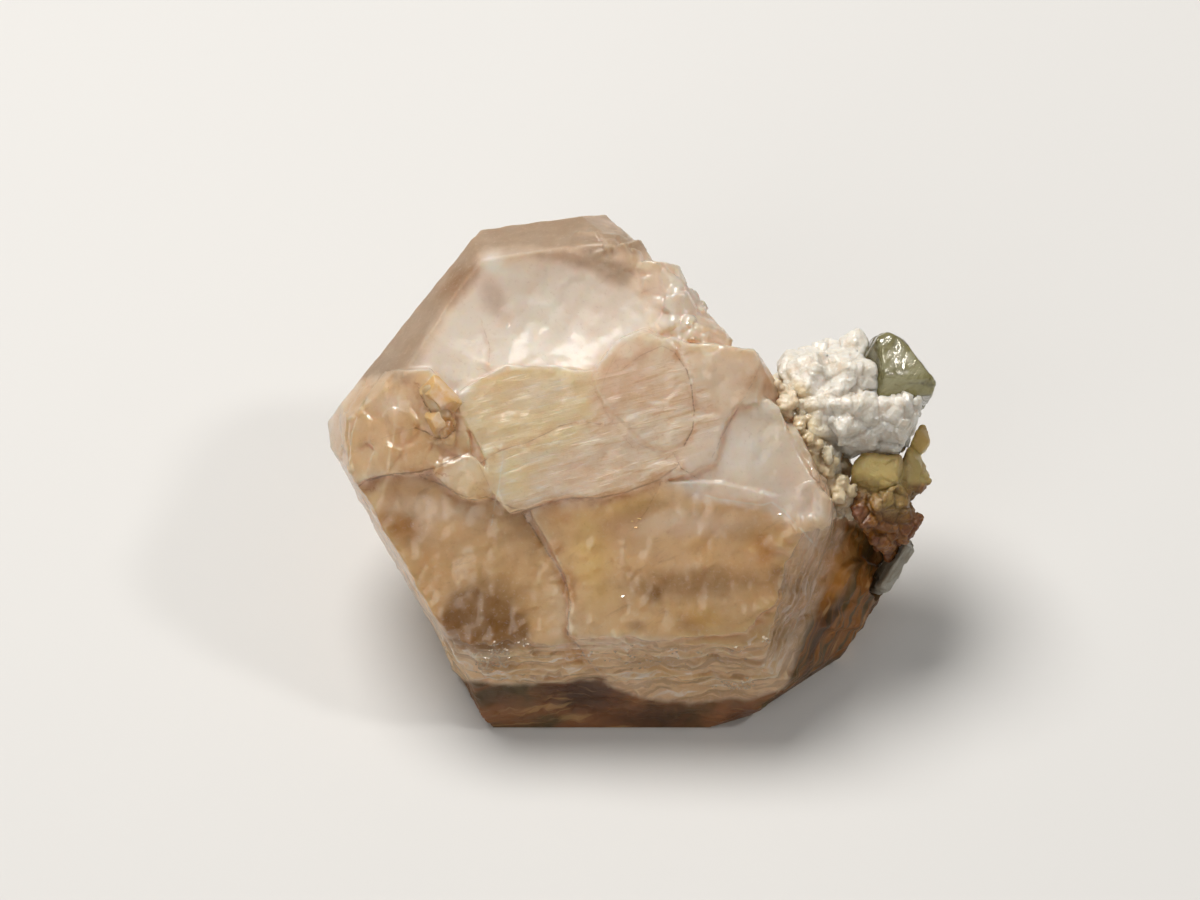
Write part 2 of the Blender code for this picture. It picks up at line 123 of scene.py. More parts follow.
# Cracks: (how dark, how white, how wide, line)
CRACKS = [
    (0.9, 0.0, 0.10, [
        (-12.4, -1.7), (-12.1, -1.85), (-11.7, -1.55), (-10.55, -1.25), (-9.1, -1.1), (-8, -0.8),
        (-7.2, -0.4), (-6.5, -0.1),
    ]),
    (0.5, 0.0, 0.07, [
        (-12.3, -1.7), (-11.8, -2.5), (-11.3, -3.4), (-10.7, -4.6), (-10, -6), (-9.4, -7.1),
    ]),
    (1.0, 0.0, 0.08, [
        (-9, 2.9), (-8.8, 2.35), (-8.35, 1.75), (-7.9, 1.45), (-7.4, 1.45), (-7.25, 1), (-7.7, 0.6),
        (-8.25, 0.6), (-8.75, 0.95), (-9.25, 1.1),
    ]),
    (0.25, 0.0, 0.06, [
        (-9.25, 1.1), (-10.35, 0.75), (-11.25, 0.5),
    ]),
    (0.55, 0.0, 0.06, [
        (-5.95, -0.65), (-5.4, -0.25), (-4.9, 0), (-3.7, 0.35), (-2.85, 0.75), (-1.95, 1.2),
        (-1.05, 1.45), (0, 1.3),
    ]),
    (0.6, 0.0, 0.09, [
        (-8.8, -1.4), (-8, -1.7), (-7.2, -2.15), (-6.45, -2.45), (-5.7, -2.3), (-5.25, -2.5),
        (-4.4, -2.9), (-3.8, -3.05), (-3.2, -2.9), (-2.45, -2.6), (-1.45, -2.4), (-0.25, -2.4),
        (1.2, -2.15), (2.1, -1.8), (2.9, -1.5), (3.9, -0.8),
    ]),
    (0.7, 0.2, 0.09, [
        (-3.8, -3.3), (-3.2, -4.15), (-2.6, -5.2), (-2, -6), (-1.6, -6.95), (-1.45, -7.7), (-1.6, -8.4),
        (-1.6, -9.2), (-1, -9.9), (-0.55, -10.6), (0.05, -11.2),
    ]),
    (0.1, 0.55, 0.07, [
        (4.2, -1.35), (4.8, -2.1), (5.85, -2.45), (7.05, -2.6), (8, -2.75), (8.6, -2.6), (9.2, -3.05),
        (9.5, -3.4), (10.1, -4), (10.6, -4.6),
    ]),
    (0.75, 0.0, 0.07, [
        (3.75, 4.9), (4.35, 3.95), (4.55, 3.2), (4.7, 1.95), (4.6, 1), (4.2, 0.2),
    ]),
    (0.14, 0.0, 0.06, [
        (4.2, 0.2), (3.1, -0.1), (2.05, 0.2), (0.95, 1), (0.3, 1.8), (0, 2.6), (0.3, 3.75), (0.6, 4.45),
        (0.95, 5.05), (1.7, 5.7), (2.5, 6),
    ]),
    (0.3, 0.0, 0.06, [
        (1.25, 4.15), (2.05, 4.75), (3.1, 5.2), (3.75, 4.9),
    ]),
    (0.25, 0.0, 0.05, [
        (-0.3, 3), (0.15, 2.2), (0.85, 1), (1.6, 0.2),
    ]),
    (0.4, 0.1, 0.07, [
        (8.3, 4.8), (8.1, 4.45), (7.65, 3.35), (7.2, 2.55), (6.7, 1.8), (6.25, 1), (5.95, 0.4),
        (5.6, -0.4),
    ]),
    (0.0, 0.5, 0.05, [
        (-4.95, 0.05), (-4.85, -0.5), (-4.95, -1), (-5.05, -1.8), (-5.2, -2.5), (-5.35, -3.1),
        (-5.4, -3.7),
    ]),
    (0.3, 0.0, 0.05, [
        (-5.8, 6), (-5.55, 5.3), (-5.5, 4.9), (-5.6, 4.3),
    ]),
    (0.3, 0.0, 0.06, [
        (-7.25, 2.75), (-6.5, 3.2), (-5.8, 3.6), (-5, 3.95), (-4.25, 4.2), (-3, 4.15),
    ]),
    (0.7, 0.0, 0.06, [
        (3.8, -0.4), (4.05, -0.9), (4.5, -1.2),
    ]),
    (0.3, 0.0, 0.05, [
        (-6.5, -0.1), (-6.1, -0.6), (-5.8, -1.25), (-5.5, -1.9),
    ]),
    (0.35, 0.0, 0.06, [
        (3, -1.8), (2.6, -2.5), (2.25, -3.15), (1.8, -3.7),
    ]),
]

# Brown clouds inside the crystal: (x, y, half width, half height, turn, strength)
BROWN_CLOUDS = [
    (-9.8, -3.9, 1.5, 0.85, -25, 0.55),
    (-5.5, -8.0, 1.9, 1.7, 10, 0.75),
    (-3.7, -3.9, 1.4, 1.3, 0, 0.25),
    (2.75, -7.1, 0.5, 0.55, 0, 1.0),
    (5.2, -6.6, 4.2, 0.75, 2, 0.62),
    (8.9, -6.6, 0.9, 0.8, 0, 0.6),
    (1.8, -8.8, 0.4, 0.3, 0, 0.5),
    (4.5, -8.8, 0.9, 0.5, -15, 0.4),
    (2.2, -2.9, 1.4, 0.4, 20, 0.35),
    (-7.0, 8.4, 1.6, 0.55, 52, 0.75),
    (-5.3, 7.5, 0.6, 1.2, 20, 0.35),
    (7.2, -4.0, 1.6, 0.5, 5, 0.3),
    (10.0, -7.6, 1.0, 3.0, -20, 0.7),
    (11.2, -5.0, 0.6, 1.3, -20, 0.6),
]
RUST_CLOUDS = [
    (8.2, -5.0, 0.55, 0.7, 0, 0.85),
    (4.9, -8.3, 0.9, 0.55, -10, 0.5),
    (-2.3, -5.1, 0.35, 0.6, -25, 0.75),
    (-1.6, -6.8, 0.35, 1.1, 5, 0.8),
    (-1.4, -10.2, 0.8, 0.5, -35, 0.9),
    (-9.8, -3.8, 1.0, 0.5, -25, 0.5),
    (-7.6, 1.3, 0.45, 0.55, 0, 0.9),
    (-1.9, -3.3, 0.8, 0.5, 0, 0.5),
    (1.0, -3.7, 1.4, 0.6, 15, 0.4),
    (-8.9, 0.4, 1.6, 0.5, 12, 0.35),
    (8.45, 3.7, 0.35, 1.1, 0, 0.9),
    (12.0, -5.9, 0.8, 1.7, -22, 1.0),
]
YELLOW_CLOUDS = [
    (-0.4, -5.5, 1.1, 2.4, 12, 0.8),
    (5.2, -8.3, 0.8, 0.5, -10, 0.85),
    (-6.3, -1.6, 1.3, 0.8, -20, 0.5),
    (1.4, -2.9, 1.6, 0.6, 18, 0.4),
    (-5.2, -10.4, 1.8, 0.4, 5, 0.4),
]
WHITE_CLOUDS = [
    (-7.1, 3.2, 0.9, 0.7, -30, 1.0),
    (-5.4, 9.2, 0.55, 0.55, 0, 1.0),
    (-5.0, 5.8, 2.6, 1.3, 35, 0.65),
    (-1.6, 7.0, 3.2, 2.6, -20, 0.55),
    (3.9, 7.4, 1.5, 1.6, -40, 0.7),
    (4.6, -1.7, 1.0, 0.6, -40, 0.9),
    (7.2, -0.2, 2.1, 1.8, -35, 0.95),
    (8.8, -2.0, 1.7, 1.1, -50, 0.75),
    (1.9, 0.3, 1.8, 0.7, 20, 0.35),
    (-3.0, 3.0, 1.5, 0.8, 20, 0.35),
    (-10.4, 2.3, 1.0, 0.5, 0, 0.4),
    (0.6, -9.6, 3.6, 0.35, 2, 0.35),
    (4.7, -2.1, 0.7, 0.22, -35, 0.9),
    (6.4, -2.65, 1.5, 0.16, -6, 0.8),
    (8.9, -3.2, 1.2, 0.16, -35, 0.7),
    (-4.9, -1.2, 0.25, 1.6, 0, 0.45),
    (-2.9, -0.3, 1.2, 0.35, 20, 0.4),
    (-5.6, -10.35, 1.3, 0.4, 0, 0.6),
    (4.2, -3.7, 3.6, 0.7, 2, 0.40),
    (-8.6, -2.9, 2.6, 0.6, -10, 0.32),
]
CREAM_CORNER = [(-7.0, 3.0, 2.0, 1.5, -30, 0.9)]
# A painted highlight at the hollow's upper edge, and the rim round it, kept free of the painted shade.
WHITE_SPOT = [(-5.4, 9.3, 0.5, 0.4, 0, 1.0), (-4.7, 8.9, 0.5, 0.25, -30, 0.5)]
BARE_RIM = [(-5.4, 9.3, 0.7, 0.6, 0, 1.0)]
# Darker patches on the foot: partly stain, partly painted shade.
MURKY_FOOT = [
    (-0.9, -12.2, 2.2, 0.9, -8, 1.0),
    (2.6, -13.4, 2.4, 0.8, 4, 0.7),
    (7.2, -13.3, 1.2, 0.6, 10, 0.6),
    (-5.4, -12.2, 1.3, 0.6, 0, 0.35),
]
GLINTS = [
    (-5.3, -10.3, 0.9, 0.8, 20, 1.0),
    (-3.7, -9.7, 0.4, 0.35, 0, 0.8),
    (6.8, -11.7, 1.3, 0.3, 4, 1.0),
    (8.3, -9.5, 0.35, 0.3, 0, 0.8),
    (2.0, -3.4, 0.55, 0.3, 50, 0.7),
    (1.7, -5.2, 0.12, 0.35, 0, 0.9),
    (1.2, -7.2, 0.2, 0.45, 25, 0.8),
    (0.0, -10.3, 2.2, 0.5, 4, 0.35),
    (4.5, -10.4, 3.5, 0.6, 4, 0.35),
    (4.0, 6.6, 1.3, 0.5, -50, 0.3),
    (9.0, -3.4, 1.2, 0.3, -50, 0.3),
]
GOLDEN_GLINTS = [(2.0, -3.4, 1.0, 0.8, 50, 1.0), (-1.6, -6.8, 0.8, 2.0, 0, 0.8)]
TO_THE_WINDOW = (-0.16, 0.51, 0.84)     # how a chip faces that throws the window's light to the eye

# Forms that are knobbed or smooth, and where small grains change colour
SHOULDER = [(3.4, 7.3, 1.8, 3.6, 42, 1.0), (0.9, 9.9, 2.0, 0.9, -10, 0.8)]
YELLOWED_FELDSPAR = [
    (10.4, 0.6, 1.0, 3.2, 27, 0.9), (9.8, 2.9, 0.7, 0.6, 0, 1.0), (10.6, -1.0, 1.2, 0.9, -30, 0.8),
]
SMOOTH_GRAINS = [
    (13.7, -0.95, 1.7, 0.9, 0, 1.0), (16.3, 0.7, 1.0, 1.2, 0, 1.0), (15.7, -0.6, 0.5, 1.6, 0, 1.0),
]
OLIVE_DOME = [(13.7, -0.95, 2.0, 1.0, 0, 1.0)]
GOLDEN_GRAIN = [(16.3, 0.7, 0.8, 1.0, 0, 1.3)]
GRANULES = [(14.6, -2.3, 1.4, 1.1, -20, 1.0)]

# Small prisms lying on the left of the broad face: (middle, width, length, aim)
SMALL_PRISMS = [
    ((-7.95, 2.65, 0.42), 1.35, 2.6, (0.70, -0.72, 0.03)),
    ((-8.05, 1.40, 0.42), 1.05, 1.8, (0.45, -0.88, 0.0)),
]

# The seam between the apatite and what grows on it: (x, y, z) in millimetres, broad face up
SEAM = [
    (9.1, 3.3, -1.5), (9.7, 2.2, -1.3), (10.4, 0.9, -1.4), (11.0, -0.4, -1.6), (11.6, -1.5, -2.0),
    (12.1, -2.4, -2.6), (12.4, -3.2, -3.3),
]
SEAM_LUMPS = [
    ((12.4, -0.9, -3.4), 1.3), ((12.1, -1.9, -3.4), 1.1), ((12.3, -2.7, -3.8), 1.0),
    ((9.0, 3.4, -2.7), 1.1), ((11.9, -0.3, -3.0), 1.0),
]

# Soft lights: (name, place in metres, width, watts, tint)
LIGHTS = [
    ("window", (-0.10, 0.12, 0.34), 0.20, 1.55, (1.0, 0.97, 0.93)),
    ("front_fill", (-0.22, -0.34, 0.26), 0.30, 0.38, (1.0, 0.96, 0.90)),
    ("right_sparkle", (0.20, -0.02, 0.26), 0.04, 0.20, (1.0, 0.98, 0.95)),
]


# The specimen's stone, worked as arrays of points


def smooth(low, high, value):
    part = np.clip((value - low) / (high - low), 0.0, 1.0)
    return part * part * (3.0 - 2.0 * part)


def lattice(whole, seed):
    """A random number from 0 to 1 for each whole-number point."""
    whole = whole.astype(np.int64)
    mixed = whole[:, 0] * 73856093 ^ whole[:, 1] * 19349663 ^ whole[:, 2] * 83492791 ^ seed * 2654435761
    mixed = (mixed ^ (mixed >> 13)) * 1274126177 & 0xFFFFFFFF
    mixed = (mixed ^ (mixed >> 16)) * 2246822519 & 0xFFFFFFFF
    return (mixed >> 8 & 0xFFFF) / 65535.0


def waves(points, size, seed):
    """Smooth random waves of the given size, from -1 to 1."""
    scaled = points / np.asarray(size) + 100.5
    base = np.floor(scaled)
    part = scaled - base
    ease = part * part * part * (part * (part * 6 - 15) + 10)
    total = np.zeros(len(points))
    for corner in itertools.product((0, 1), repeat=3):
        share = np.prod(np.where(corner, ease, 1 - ease), axis=1)
        total += share * lattice(base + corner, seed)
    return total * 2 - 1


def rubble(points, size, seed, octaves=3):
    """Waves with finer waves on them."""
    total = np.zeros(len(points))
    for octave in range(octaves):
        total += waves(points, np.asarray(size) / 2 ** octave, seed + octave) / 2 ** octave
    return total


def facets(points, size, tilt, seed):
    """Broken grains of the given size: the height of each grain's own tilted face, how far each point
    is from the edge of its grain, and a random number for the grain."""
    scaled = points / size + 50.0
    base = np.floor(scaled)
    nearest = np.full(len(points), 9.0)
    second = np.full(len(points), 9.0)
    height = np.zeros(len(points))
    own = np.zeros(len(points))
    for corner in itertools.product((-1, 0, 1), repeat=3):
        cell = base + corner
        middle = np.stack([lattice(cell, seed + axis) for axis in range(3)], axis=1)
        offset = scaled - cell - 0.1 - 0.8 * middle
        distance = np.linalg.norm(offset, axis=1)
        second = np.minimum(second, np.maximum(distance, nearest))
        closer = distance < nearest
        nearest = np.where(closer, distance, nearest)
        slope = np.stack([lattice(cell, seed + 5 + axis) for axis in range(3)], axis=1) - 0.5
        height = np.where(closer, (slope * offset).sum(axis=1) * 2 * tilt * size, height)
        own = np.where(closer, lattice(cell, seed + 9), own)
    return height, (second - nearest) * size, own


def where_shown(share, work, points):
    """Works something out only at the points where it shows."""
    shown = share > 0.001
    found = np.zeros(len(points))
    found[shown] = work(points[shown])
    return found


def lumps(points, size, tilt, seed, cleft):
    """Broken grains, each with its own tilted face and a cleft round it."""
    height, edge, _ = facets(points, size, tilt, seed)
    return height - cleft * smooth(0.28 * size, 0.0, edge)


def to_line(points, line, closed=False):
    """The distance of each point from a drawn line, and which side of it the point is on."""
    distance = np.full(len(points), 99.0)
    side = np.ones(len(points))
    ends = line[1:] + line[:1] if closed else line[1:]
    for start, end in zip(line, ends):
        run = np.subtract(end, start)
        reach = np.clip((points - start) @ run / (run @ run), 0, 1)
        offset = points - start - reach[:, None] * run
        away = np.hypot(offset[:, 0], offset[:, 1])
        nearer = away < distance
        distance[nearer] = away[nearer]
        side[nearer] = np.where(run[0] * offset[nearer, 1] > run[1] * offset[nearer, 0], 1, -1)
    return distance, side


def inside(points, outline, soft):
    """From 0 outside an outline to 1 inside it, over a soft edge."""
    distance, _ = to_line(points, outline, closed=True)
    within = np.zeros(len(points), bool)
    for (ax, ay), (bx, by) in zip(outline, outline[1:] + outline[:1]):
        spans = (ay > points[:, 1]) != (by > points[:, 1])
        rise = by - ay if by != ay else 1e-9
        within ^= spans & (points[:, 0] < ax + (points[:, 1] - ay) * (bx - ax) / rise)
    return smooth(-soft, soft, np.where(within, distance, -distance))


def clouds(points, marks):
    """Soft patches, each (x, y, half width, half height, turn, strength)."""
    total = np.zeros(len(points))
    for x, y, wide, high, turn, strength in marks:
        along = math.cos(math.radians(turn)), math.sin(math.radians(turn))
        right = (points[:, 0] - x) * along[0] + (points[:, 1] - y) * along[1]
        up = (points[:, 1] - y) * along[0] - (points[:, 0] - x) * along[1]
        total = np.maximum(total, strength * smooth(1.5, 0.3, np.hypot(right / wide, up / high)))
    return total


def nearest_crack(points):
    """The distance from the nearest crack, with its side as a sign, and how dark and white it is."""
    found = np.full(len(points), 9.0)
    crack = np.zeros((len(points), 3))
    crack[:, 0] = 9.0
    for dark, white, wide, line in CRACKS:
        distance, side = to_line(points, line)
        nearer = distance < found
        found[nearer] = distance[nearer]
        fade = smooth(0.8, 0.4, distance[nearer])
        crack[nearer, 0] = (distance * side / wide * 0.07)[nearer]
        crack[nearer, 1] = dark * fade
        crack[nearer, 2] = white * fade
    return crack


# Working a piece


def only(piece):
    bpy.ops.object.select_all(action="DESELECT")
    piece.select_set(True)
    bpy.context.view_layer.objects.active = piece


def apply_modifier(piece, kind, **settings):
    """Adds a modifier to a piece and applies it."""
    only(piece)
    bpy.ops.object.modifier_add(type=kind)
    modifier = piece.modifiers[-1]
    for setting, value in settings.items():
        setattr(modifier, setting, value)
    bpy.ops.object.modifier_apply(modifier=modifier.name)


def refine(piece, grain, rounds):
    """Builds a piece anew from small even faces, then evens it out so many times."""
    apply_modifier(piece, "REMESH", mode="VOXEL", voxel_size=grain)
    apply_modifier(piece, "SMOOTH", factor=0.5, iterations=rounds)


def rough_copy(node, name):
    """A welded copy of a solid, lying with the broad face up, in millimetres."""
    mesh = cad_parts[node].data.copy()
    mesh.name = name
    mesh.materials.clear()
    mesh.transform(PLACE.inverted())
    piece = bpy.data.objects.new(name, mesh)
    bpy.context.scene.collection.objects.link(piece)
    only(piece)
    bpy.ops.object.mode_set(mode="EDIT")
    bpy.ops.mesh.select_all(action="SELECT")
    bpy.ops.mesh.remove_doubles(threshold=0.0005)
    bpy.ops.object.mode_set(mode="OBJECT")
    return piece


def points_of(piece):
    flat = np.empty(len(piece.data.vertices) * 3, np.float32)
    piece.data.vertices.foreach_get("co", flat)
    return flat.reshape(-1, 3).astype(float)


def facing_of(piece):
    flat = np.empty(len(piece.data.vertices) * 3, np.float32)
    piece.data.vertex_normals.foreach_get("vector", flat)
    return flat.reshape(-1, 3).astype(float)


def move_points(piece, points):
    piece.data.vertices.foreach_set("co", points.astype(np.float32).ravel())
    piece.data.update()


def seen(points):
    """Where the eye sees each point on the broad face."""
    return points[:, :2] * (EYE / (EYE - points[:, 2]))[:, None]


def above_table(points):
    """Each point's height over the table, in millimetres."""
    return FACE_MIDDLE.z / MM + points[:, 1] * math.sin(LEAN) + points[:, 2] * math.cos(LEAN)


def curvature(piece, passes):
    """How sharply each point stands out from its neighbours, or lies below them as a minus."""
    points = points_of(piece)
    ends = np.empty(len(piece.data.edges) * 2, np.int32)
    piece.data.edges.foreach_get("vertices", ends)
    first, second = ends.reshape(-1, 2).T
    count = np.bincount(ends, minlength=len(points)).astype(float)

    def around(values):
        total = np.bincount(first, values[second], len(points))
        total += np.bincount(second, values[first], len(points))
        return total / count

    length = np.linalg.norm(points[first] - points[second], axis=1)
    reach = (np.bincount(first, length, len(points)) + np.bincount(second, length, len(points))) / count
    middle = np.stack([around(points[:, axis]) for axis in range(3)], axis=1)
    bend = ((points - middle) * facing_of(piece)).sum(axis=1) / reach
    for _ in range(passes):
        bend = 0.4 * bend + 0.6 * around(bend)
    return bend


def stain(piece, name, amounts):
    """Keeps a number for each point, for the finish to read."""
    kept = piece.data.attributes.new(name, "FLOAT", "POINT")
    kept.data.foreach_set("value", amounts.astype(np.float32))


def thin_out(piece, triangles):
    """Takes away points where the surface is flat, down to so many triangles."""
    made = sum(len(face.vertices) - 2 for face in piece.data.polygons)
    if made > triangles:
        apply_modifier(piece, "DECIMATE", ratio=triangles / made)


def set_in_place(piece, body, slot, finish, *nodes):
    """Puts a worked piece back on the specimen with its finish, and hides the imported solids it takes
    the place of.
    """
    piece.matrix_world = PLACE
    only(piece)
    bpy.ops.object.transform_apply(location=True, rotation=True, scale=True)
    bpy.ops.object.shade_smooth()
    piece.data.materials.append(finish)
    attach(piece, body)
    if nodes:
        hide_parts(*nodes)


# Finishes


class Wire:
    """One socket of a finish, so that shader maths reads as it is written."""

    def __init__(self, recipe, socket):
        self.recipe = recipe
        self.socket = socket

    def __add__(self, other):
        return self.recipe.maths("ADD", self, other)

    def __sub__(self, other):
        return self.recipe.maths("SUBTRACT", self, other)

    def __rsub__(self, other):
        return self.recipe.maths("SUBTRACT", other, self)

    def __mul__(self, other):
        return self.recipe.maths("MULTIPLY", self, other)

    def __abs__(self):
        return self.recipe.maths("ABSOLUTE", self)

    __radd__ = __add__
    __rmul__ = __mul__


class Recipe:
    """The nodes of one finish."""

    def __init__(self, name):
        self.material = bpy.data.materials.new(name)
        self.material.use_nodes = True
        self.tree = self.material.node_tree
        self.tree.nodes.clear()

    def node(self, kind, settings, sockets, output=0):
        """Adds a node: its settings first, then the values or links of its sockets."""
        made = self.tree.nodes.new(kind)
        for setting, value in settings.items():
            setattr(made, setting, value)
        for socket, value in sockets.items():
            if isinstance(value, Wire):
                self.tree.links.new(value.socket, made.inputs[socket])
            else:
                made.inputs[socket].default_value = value
        return Wire(self, made.outputs[output]) if made.outputs else None

    def maths(self, operation, *values):
        return self.node("ShaderNodeMath", {"operation": operation}, dict(enumerate(values)))

    def limit(self, value):
        """Keeps a value between 0 and 1."""
        return self.node("ShaderNodeClamp", {}, {0: value})

    def band(self, value, low, high):
        """0 below low and 1 above high, eased between."""
        settings = {"interpolation_type": "SMOOTHSTEP", "clamp": True}
        return self.node("ShaderNodeMapRange", settings, {0: value, 1: low, 2: high, 3: 0.0, 4: 1.0})

    def blend(self, share, first, second):
        """One colour over another."""
        colours = [c if isinstance(c, Wire) else (*c, 1.0) for c in (first, second)]
        sockets = {0: share, 6: colours[0], 7: colours[1]}
        return self.node("ShaderNodeMix", {"data_type": "RGBA"}, sockets, 2)

    def mark(self, name):
        """A stain kept on the piece."""
        return self.node("ShaderNodeAttribute", {"attribute_name": name}, {}, 2)

    def lying(self, size=(1.0, 1.0, 1.0), turn=(0.0, 0.0, 0.0)):
        """Places on the crystal with the broad face up, in units of the given millimetres."""
        where = self.node("ShaderNodeTexCoord", {}, {}, 3)
        lying = self.node("ShaderNodeMapping", {"vector_type": "TEXTURE"}, {
            0: where, 1: FACE_MIDDLE, 2: (LEAN, 0.0, 0.0), 3: (MM, MM, MM),
        })
        if size == (1.0, 1.0, 1.0) and turn == (0.0, 0.0, 0.0):
            return lying
        turned = tuple(math.radians(angle) for angle in turn)
        sockets = {0: lying, 2: turned, 3: size}
        return self.node("ShaderNodeMapping", {"vector_type": "TEXTURE"}, sockets)

    def speckle(self, where, scale, detail=3.0, roughness=0.55, warp=0.0):
        """Random cloudiness; scale is how many clouds fit in a millimetre."""
        return self.node("ShaderNodeTexNoise", {}, {
            "Vector": where, "Scale": scale, "Detail": detail, "Roughness": roughness,
            "Distortion": warp,
        })

    def grains(self, where, scale):
        """Packed grains: how far each point is from the middle of its grain."""
        return self.node("ShaderNodeTexVoronoi", {}, {"Vector": where, "Scale": scale})

    def bumps(self, height, depth, normal=None):
        """A relief too fine to model, depth in millimetres."""
        sockets = {"Strength": 1.0, "Distance": depth * MM, "Height": height}
        if normal:
            sockets["Normal"] = normal
        return self.node("ShaderNodeBump", {}, sockets)

    def surface(self, varied, fixed):
        """What varies over a surface, and what is the same all over."""
        return self.node("ShaderNodeBsdfPrincipled", {}, {**varied, **fixed})

    def finish(self, varied, fixed, share=None, second=None):
        """The surface itself, with a second one over part of it."""
        surface = self.surface(varied, fixed)
        if second:
            surface = self.node("ShaderNodeMixShader", {}, {0: share, 1: surface, 2: second})
        self.node("ShaderNodeOutputMaterial", {}, {"Surface": surface})
        return self.material


def pink_finish(colours):
    """Cloudy pink-brown apatite: a hollow whose milky white is a painted reflection, cream and brown
    clouds, iron in its cracks, a painted highlight on its ledge rims, and painted shade in its dents, on
    its band and on its foot.
    """
    recipe = Recipe("cloudy_pink_apatite")
    lying = recipe.lying()
    broad = recipe.speckle(lying, 0.28, 3.0, 0.5, 0.6)
    middling = recipe.speckle(lying, 1.1, 5.0, 0.62, 0.4)
    fine = recipe.speckle(lying, 5.0, 4.0, 0.65)
    streaks = recipe.speckle(recipe.lying((1.7, 0.20, 1.0), (0, 0, 15)), 1.0, 4.0, 0.62, 0.7)
    wisps = recipe.speckle(recipe.lying((2.4, 1.0, 1.0), (0, 0, 24)), 1.0, 5.0, 0.66, 1.2)
    layers = recipe.speckle(recipe.lying((4.0, 4.0, 0.36), (2, -3, 0)), 1.0, 3.0, 0.6, 0.3)

    milk_and_painted_sheen, cream, wavy, brown, rust, yellow, honeyed, band = map(
        recipe.mark, ("milk_and_painted_sheen", "cream", "wavy", "brown", "rust", "yellow", "honeyed", "band"),
    )
    side, painted_highlight_rims, painted_shade_marks, ledges, flank, foot, murk_and_painted_shade = map(
        recipe.mark, ("side", "painted_highlight_rims", "painted_shade_marks", "ledges", "flank", "foot", "murk_and_painted_shade"),
    )
    crack = recipe.node("ShaderNodeAttribute", {"attribute_name": "crack"}, {}, 1)
    across, dark, white = (
        recipe.node("ShaderNodeSeparateXYZ", {}, {0: crack}, part) for part in range(3)
    )
    away = abs(across + (middling - 0.5) * 0.16)
    line = recipe.band(away, 0.050, 0.012) * recipe.band(streaks, 0.36, 0.56)
    halo = recipe.band(away, 0.42, 0.03) * recipe.band(middling, 0.38, 0.66)

    pink = recipe.blend(recipe.band(broad, 0.36, 0.66), colours.pink, colours.rose)
    pink = recipe.blend(honeyed * (0.75 + (broad - 0.5) * 0.8), pink, colours.honey)
    pink = recipe.blend(recipe.band(middling, 0.46, 0.70) * (0.25 + honeyed * 0.15), pink, colours.tan)
    pink = recipe.blend(recipe.band(wisps, 0.55, 0.70) * 0.16, pink, colours.milk_and_painted_sheen)
    pink = recipe.blend(recipe.band(wisps, 0.44, 0.30) * (0.15 + honeyed * 0.12), pink, colours.brown)
    pink = recipe.blend(recipe.band(streaks, 0.52, 0.66) * wavy * 0.50, pink, colours.tan)
    pink = recipe.blend(recipe.limit(cream * (0.45 + middling)), pink, colours.cream)
    pink = recipe.blend(recipe.band(streaks, 0.46, 0.32) * wavy * 0.50, pink, colours.milk_and_painted_sheen)
    # The band is partly glassy brown and partly painted shade; along the hollow's upper rim it is
    # painted shade.
    pink = recipe.blend(band * (0.55 + middling * 0.6), pink, colours.glassy_band_and_painted_shade)
    # Over the hollow this white is a painted reflection; elsewhere it is the crystal's real milky
    # clouds.
    pink = recipe.blend(recipe.limit(milk_and_painted_sheen * (0.55 + middling * 0.8)), pink, colours.milk_and_painted_sheen)
    pink = recipe.blend(recipe.limit(yellow * (0.25 + middling)), pink, colours.yellow)
    pink = recipe.blend(recipe.limit(brown * (0.50 + middling * 0.8)), pink, colours.brown)
    patchy = recipe.band(wisps, 0.40, 0.58)
    pink = recipe.blend(ledges * recipe.band(broad, 0.35, 0.60) * 0.15, pink, colours.tan)
    # The light and dark stripes on the ledges are partly real layering and partly painted light and
    # shade.
    layered = recipe.limit(side + ledges)
    pink = recipe.blend(recipe.band(layers, 0.50, 0.42) * layered * 0.45, pink, colours.brown)
    pink = recipe.blend(recipe.band(layers, 0.57, 0.61) * patchy * ledges * 0.8, pink, colours.milk_and_painted_sheen)
    pink = recipe.blend(recipe.limit(rust * (0.15 + middling * 1.2)), pink, colours.rust)
    pink = recipe.blend(halo * dark * 0.75, pink, colours.rust)
    pink = recipe.blend(recipe.band(fine, 0.54, 0.72) * 0.22, pink, colours.milk_and_painted_sheen)
    pink = recipe.blend(recipe.band(fine, 0.44, 0.28) * 0.16, pink, colours.brown)
    # Painted highlight on convex rims, and painted shade in concave dents.
    pink = recipe.blend(painted_highlight_rims * (0.3 + middling * 0.5), pink, colours.milk_and_painted_sheen)
    pink = recipe.blend(painted_shade_marks * (0.2 + middling * 0.7), pink, colours.rust)
    pink = recipe.blend(line * dark * 0.75, pink, colours.crack)
    # The white spot is a painted highlight at the hollow's upper edge.
    pink = recipe.blend(recipe.limit(recipe.mark("bright") * (0.4 + middling)), pink, colours.white)
    vein = recipe.band(away, 0.085, 0.015) * recipe.band(wisps, 0.38, 0.54)
    pink = recipe.blend(vein * white, pink, colours.white)

    outward = recipe.speckle(recipe.lying((5.0, 0.55, 5.0), (0, 0, -113)), 1.0, 3.0, 0.5, 0.2)
    banded = recipe.blend(recipe.band(layers, 0.44, 0.58), colours.olive, colours.amber)
    banded = recipe.blend(recipe.band(outward, 0.46, 0.60) * 0.6, banded, colours.dark)
    banded = recipe.blend(recipe.band(layers, 0.60, 0.70) * 0.4, banded, colours.tan)
    # The foot's dark red-brown is partly its own stain and partly painted shade; on the flank the bands
    # are real stains.
    base = recipe.blend(recipe.band(broad, 0.40, 0.62), colours.ruddy_and_painted_shade, colours.olive)
    base = recipe.blend(recipe.limit(murk_and_painted_shade * (0.5 + middling * 0.7)), base, colours.dark)
    base = recipe.blend(recipe.band(layers, 0.58, 0.68) * 0.35, base, colours.tan)
    base = recipe.blend(flank, base, banded)
    base = recipe.blend(rust * (0.4 + middling * 0.6), base, colours.rust)

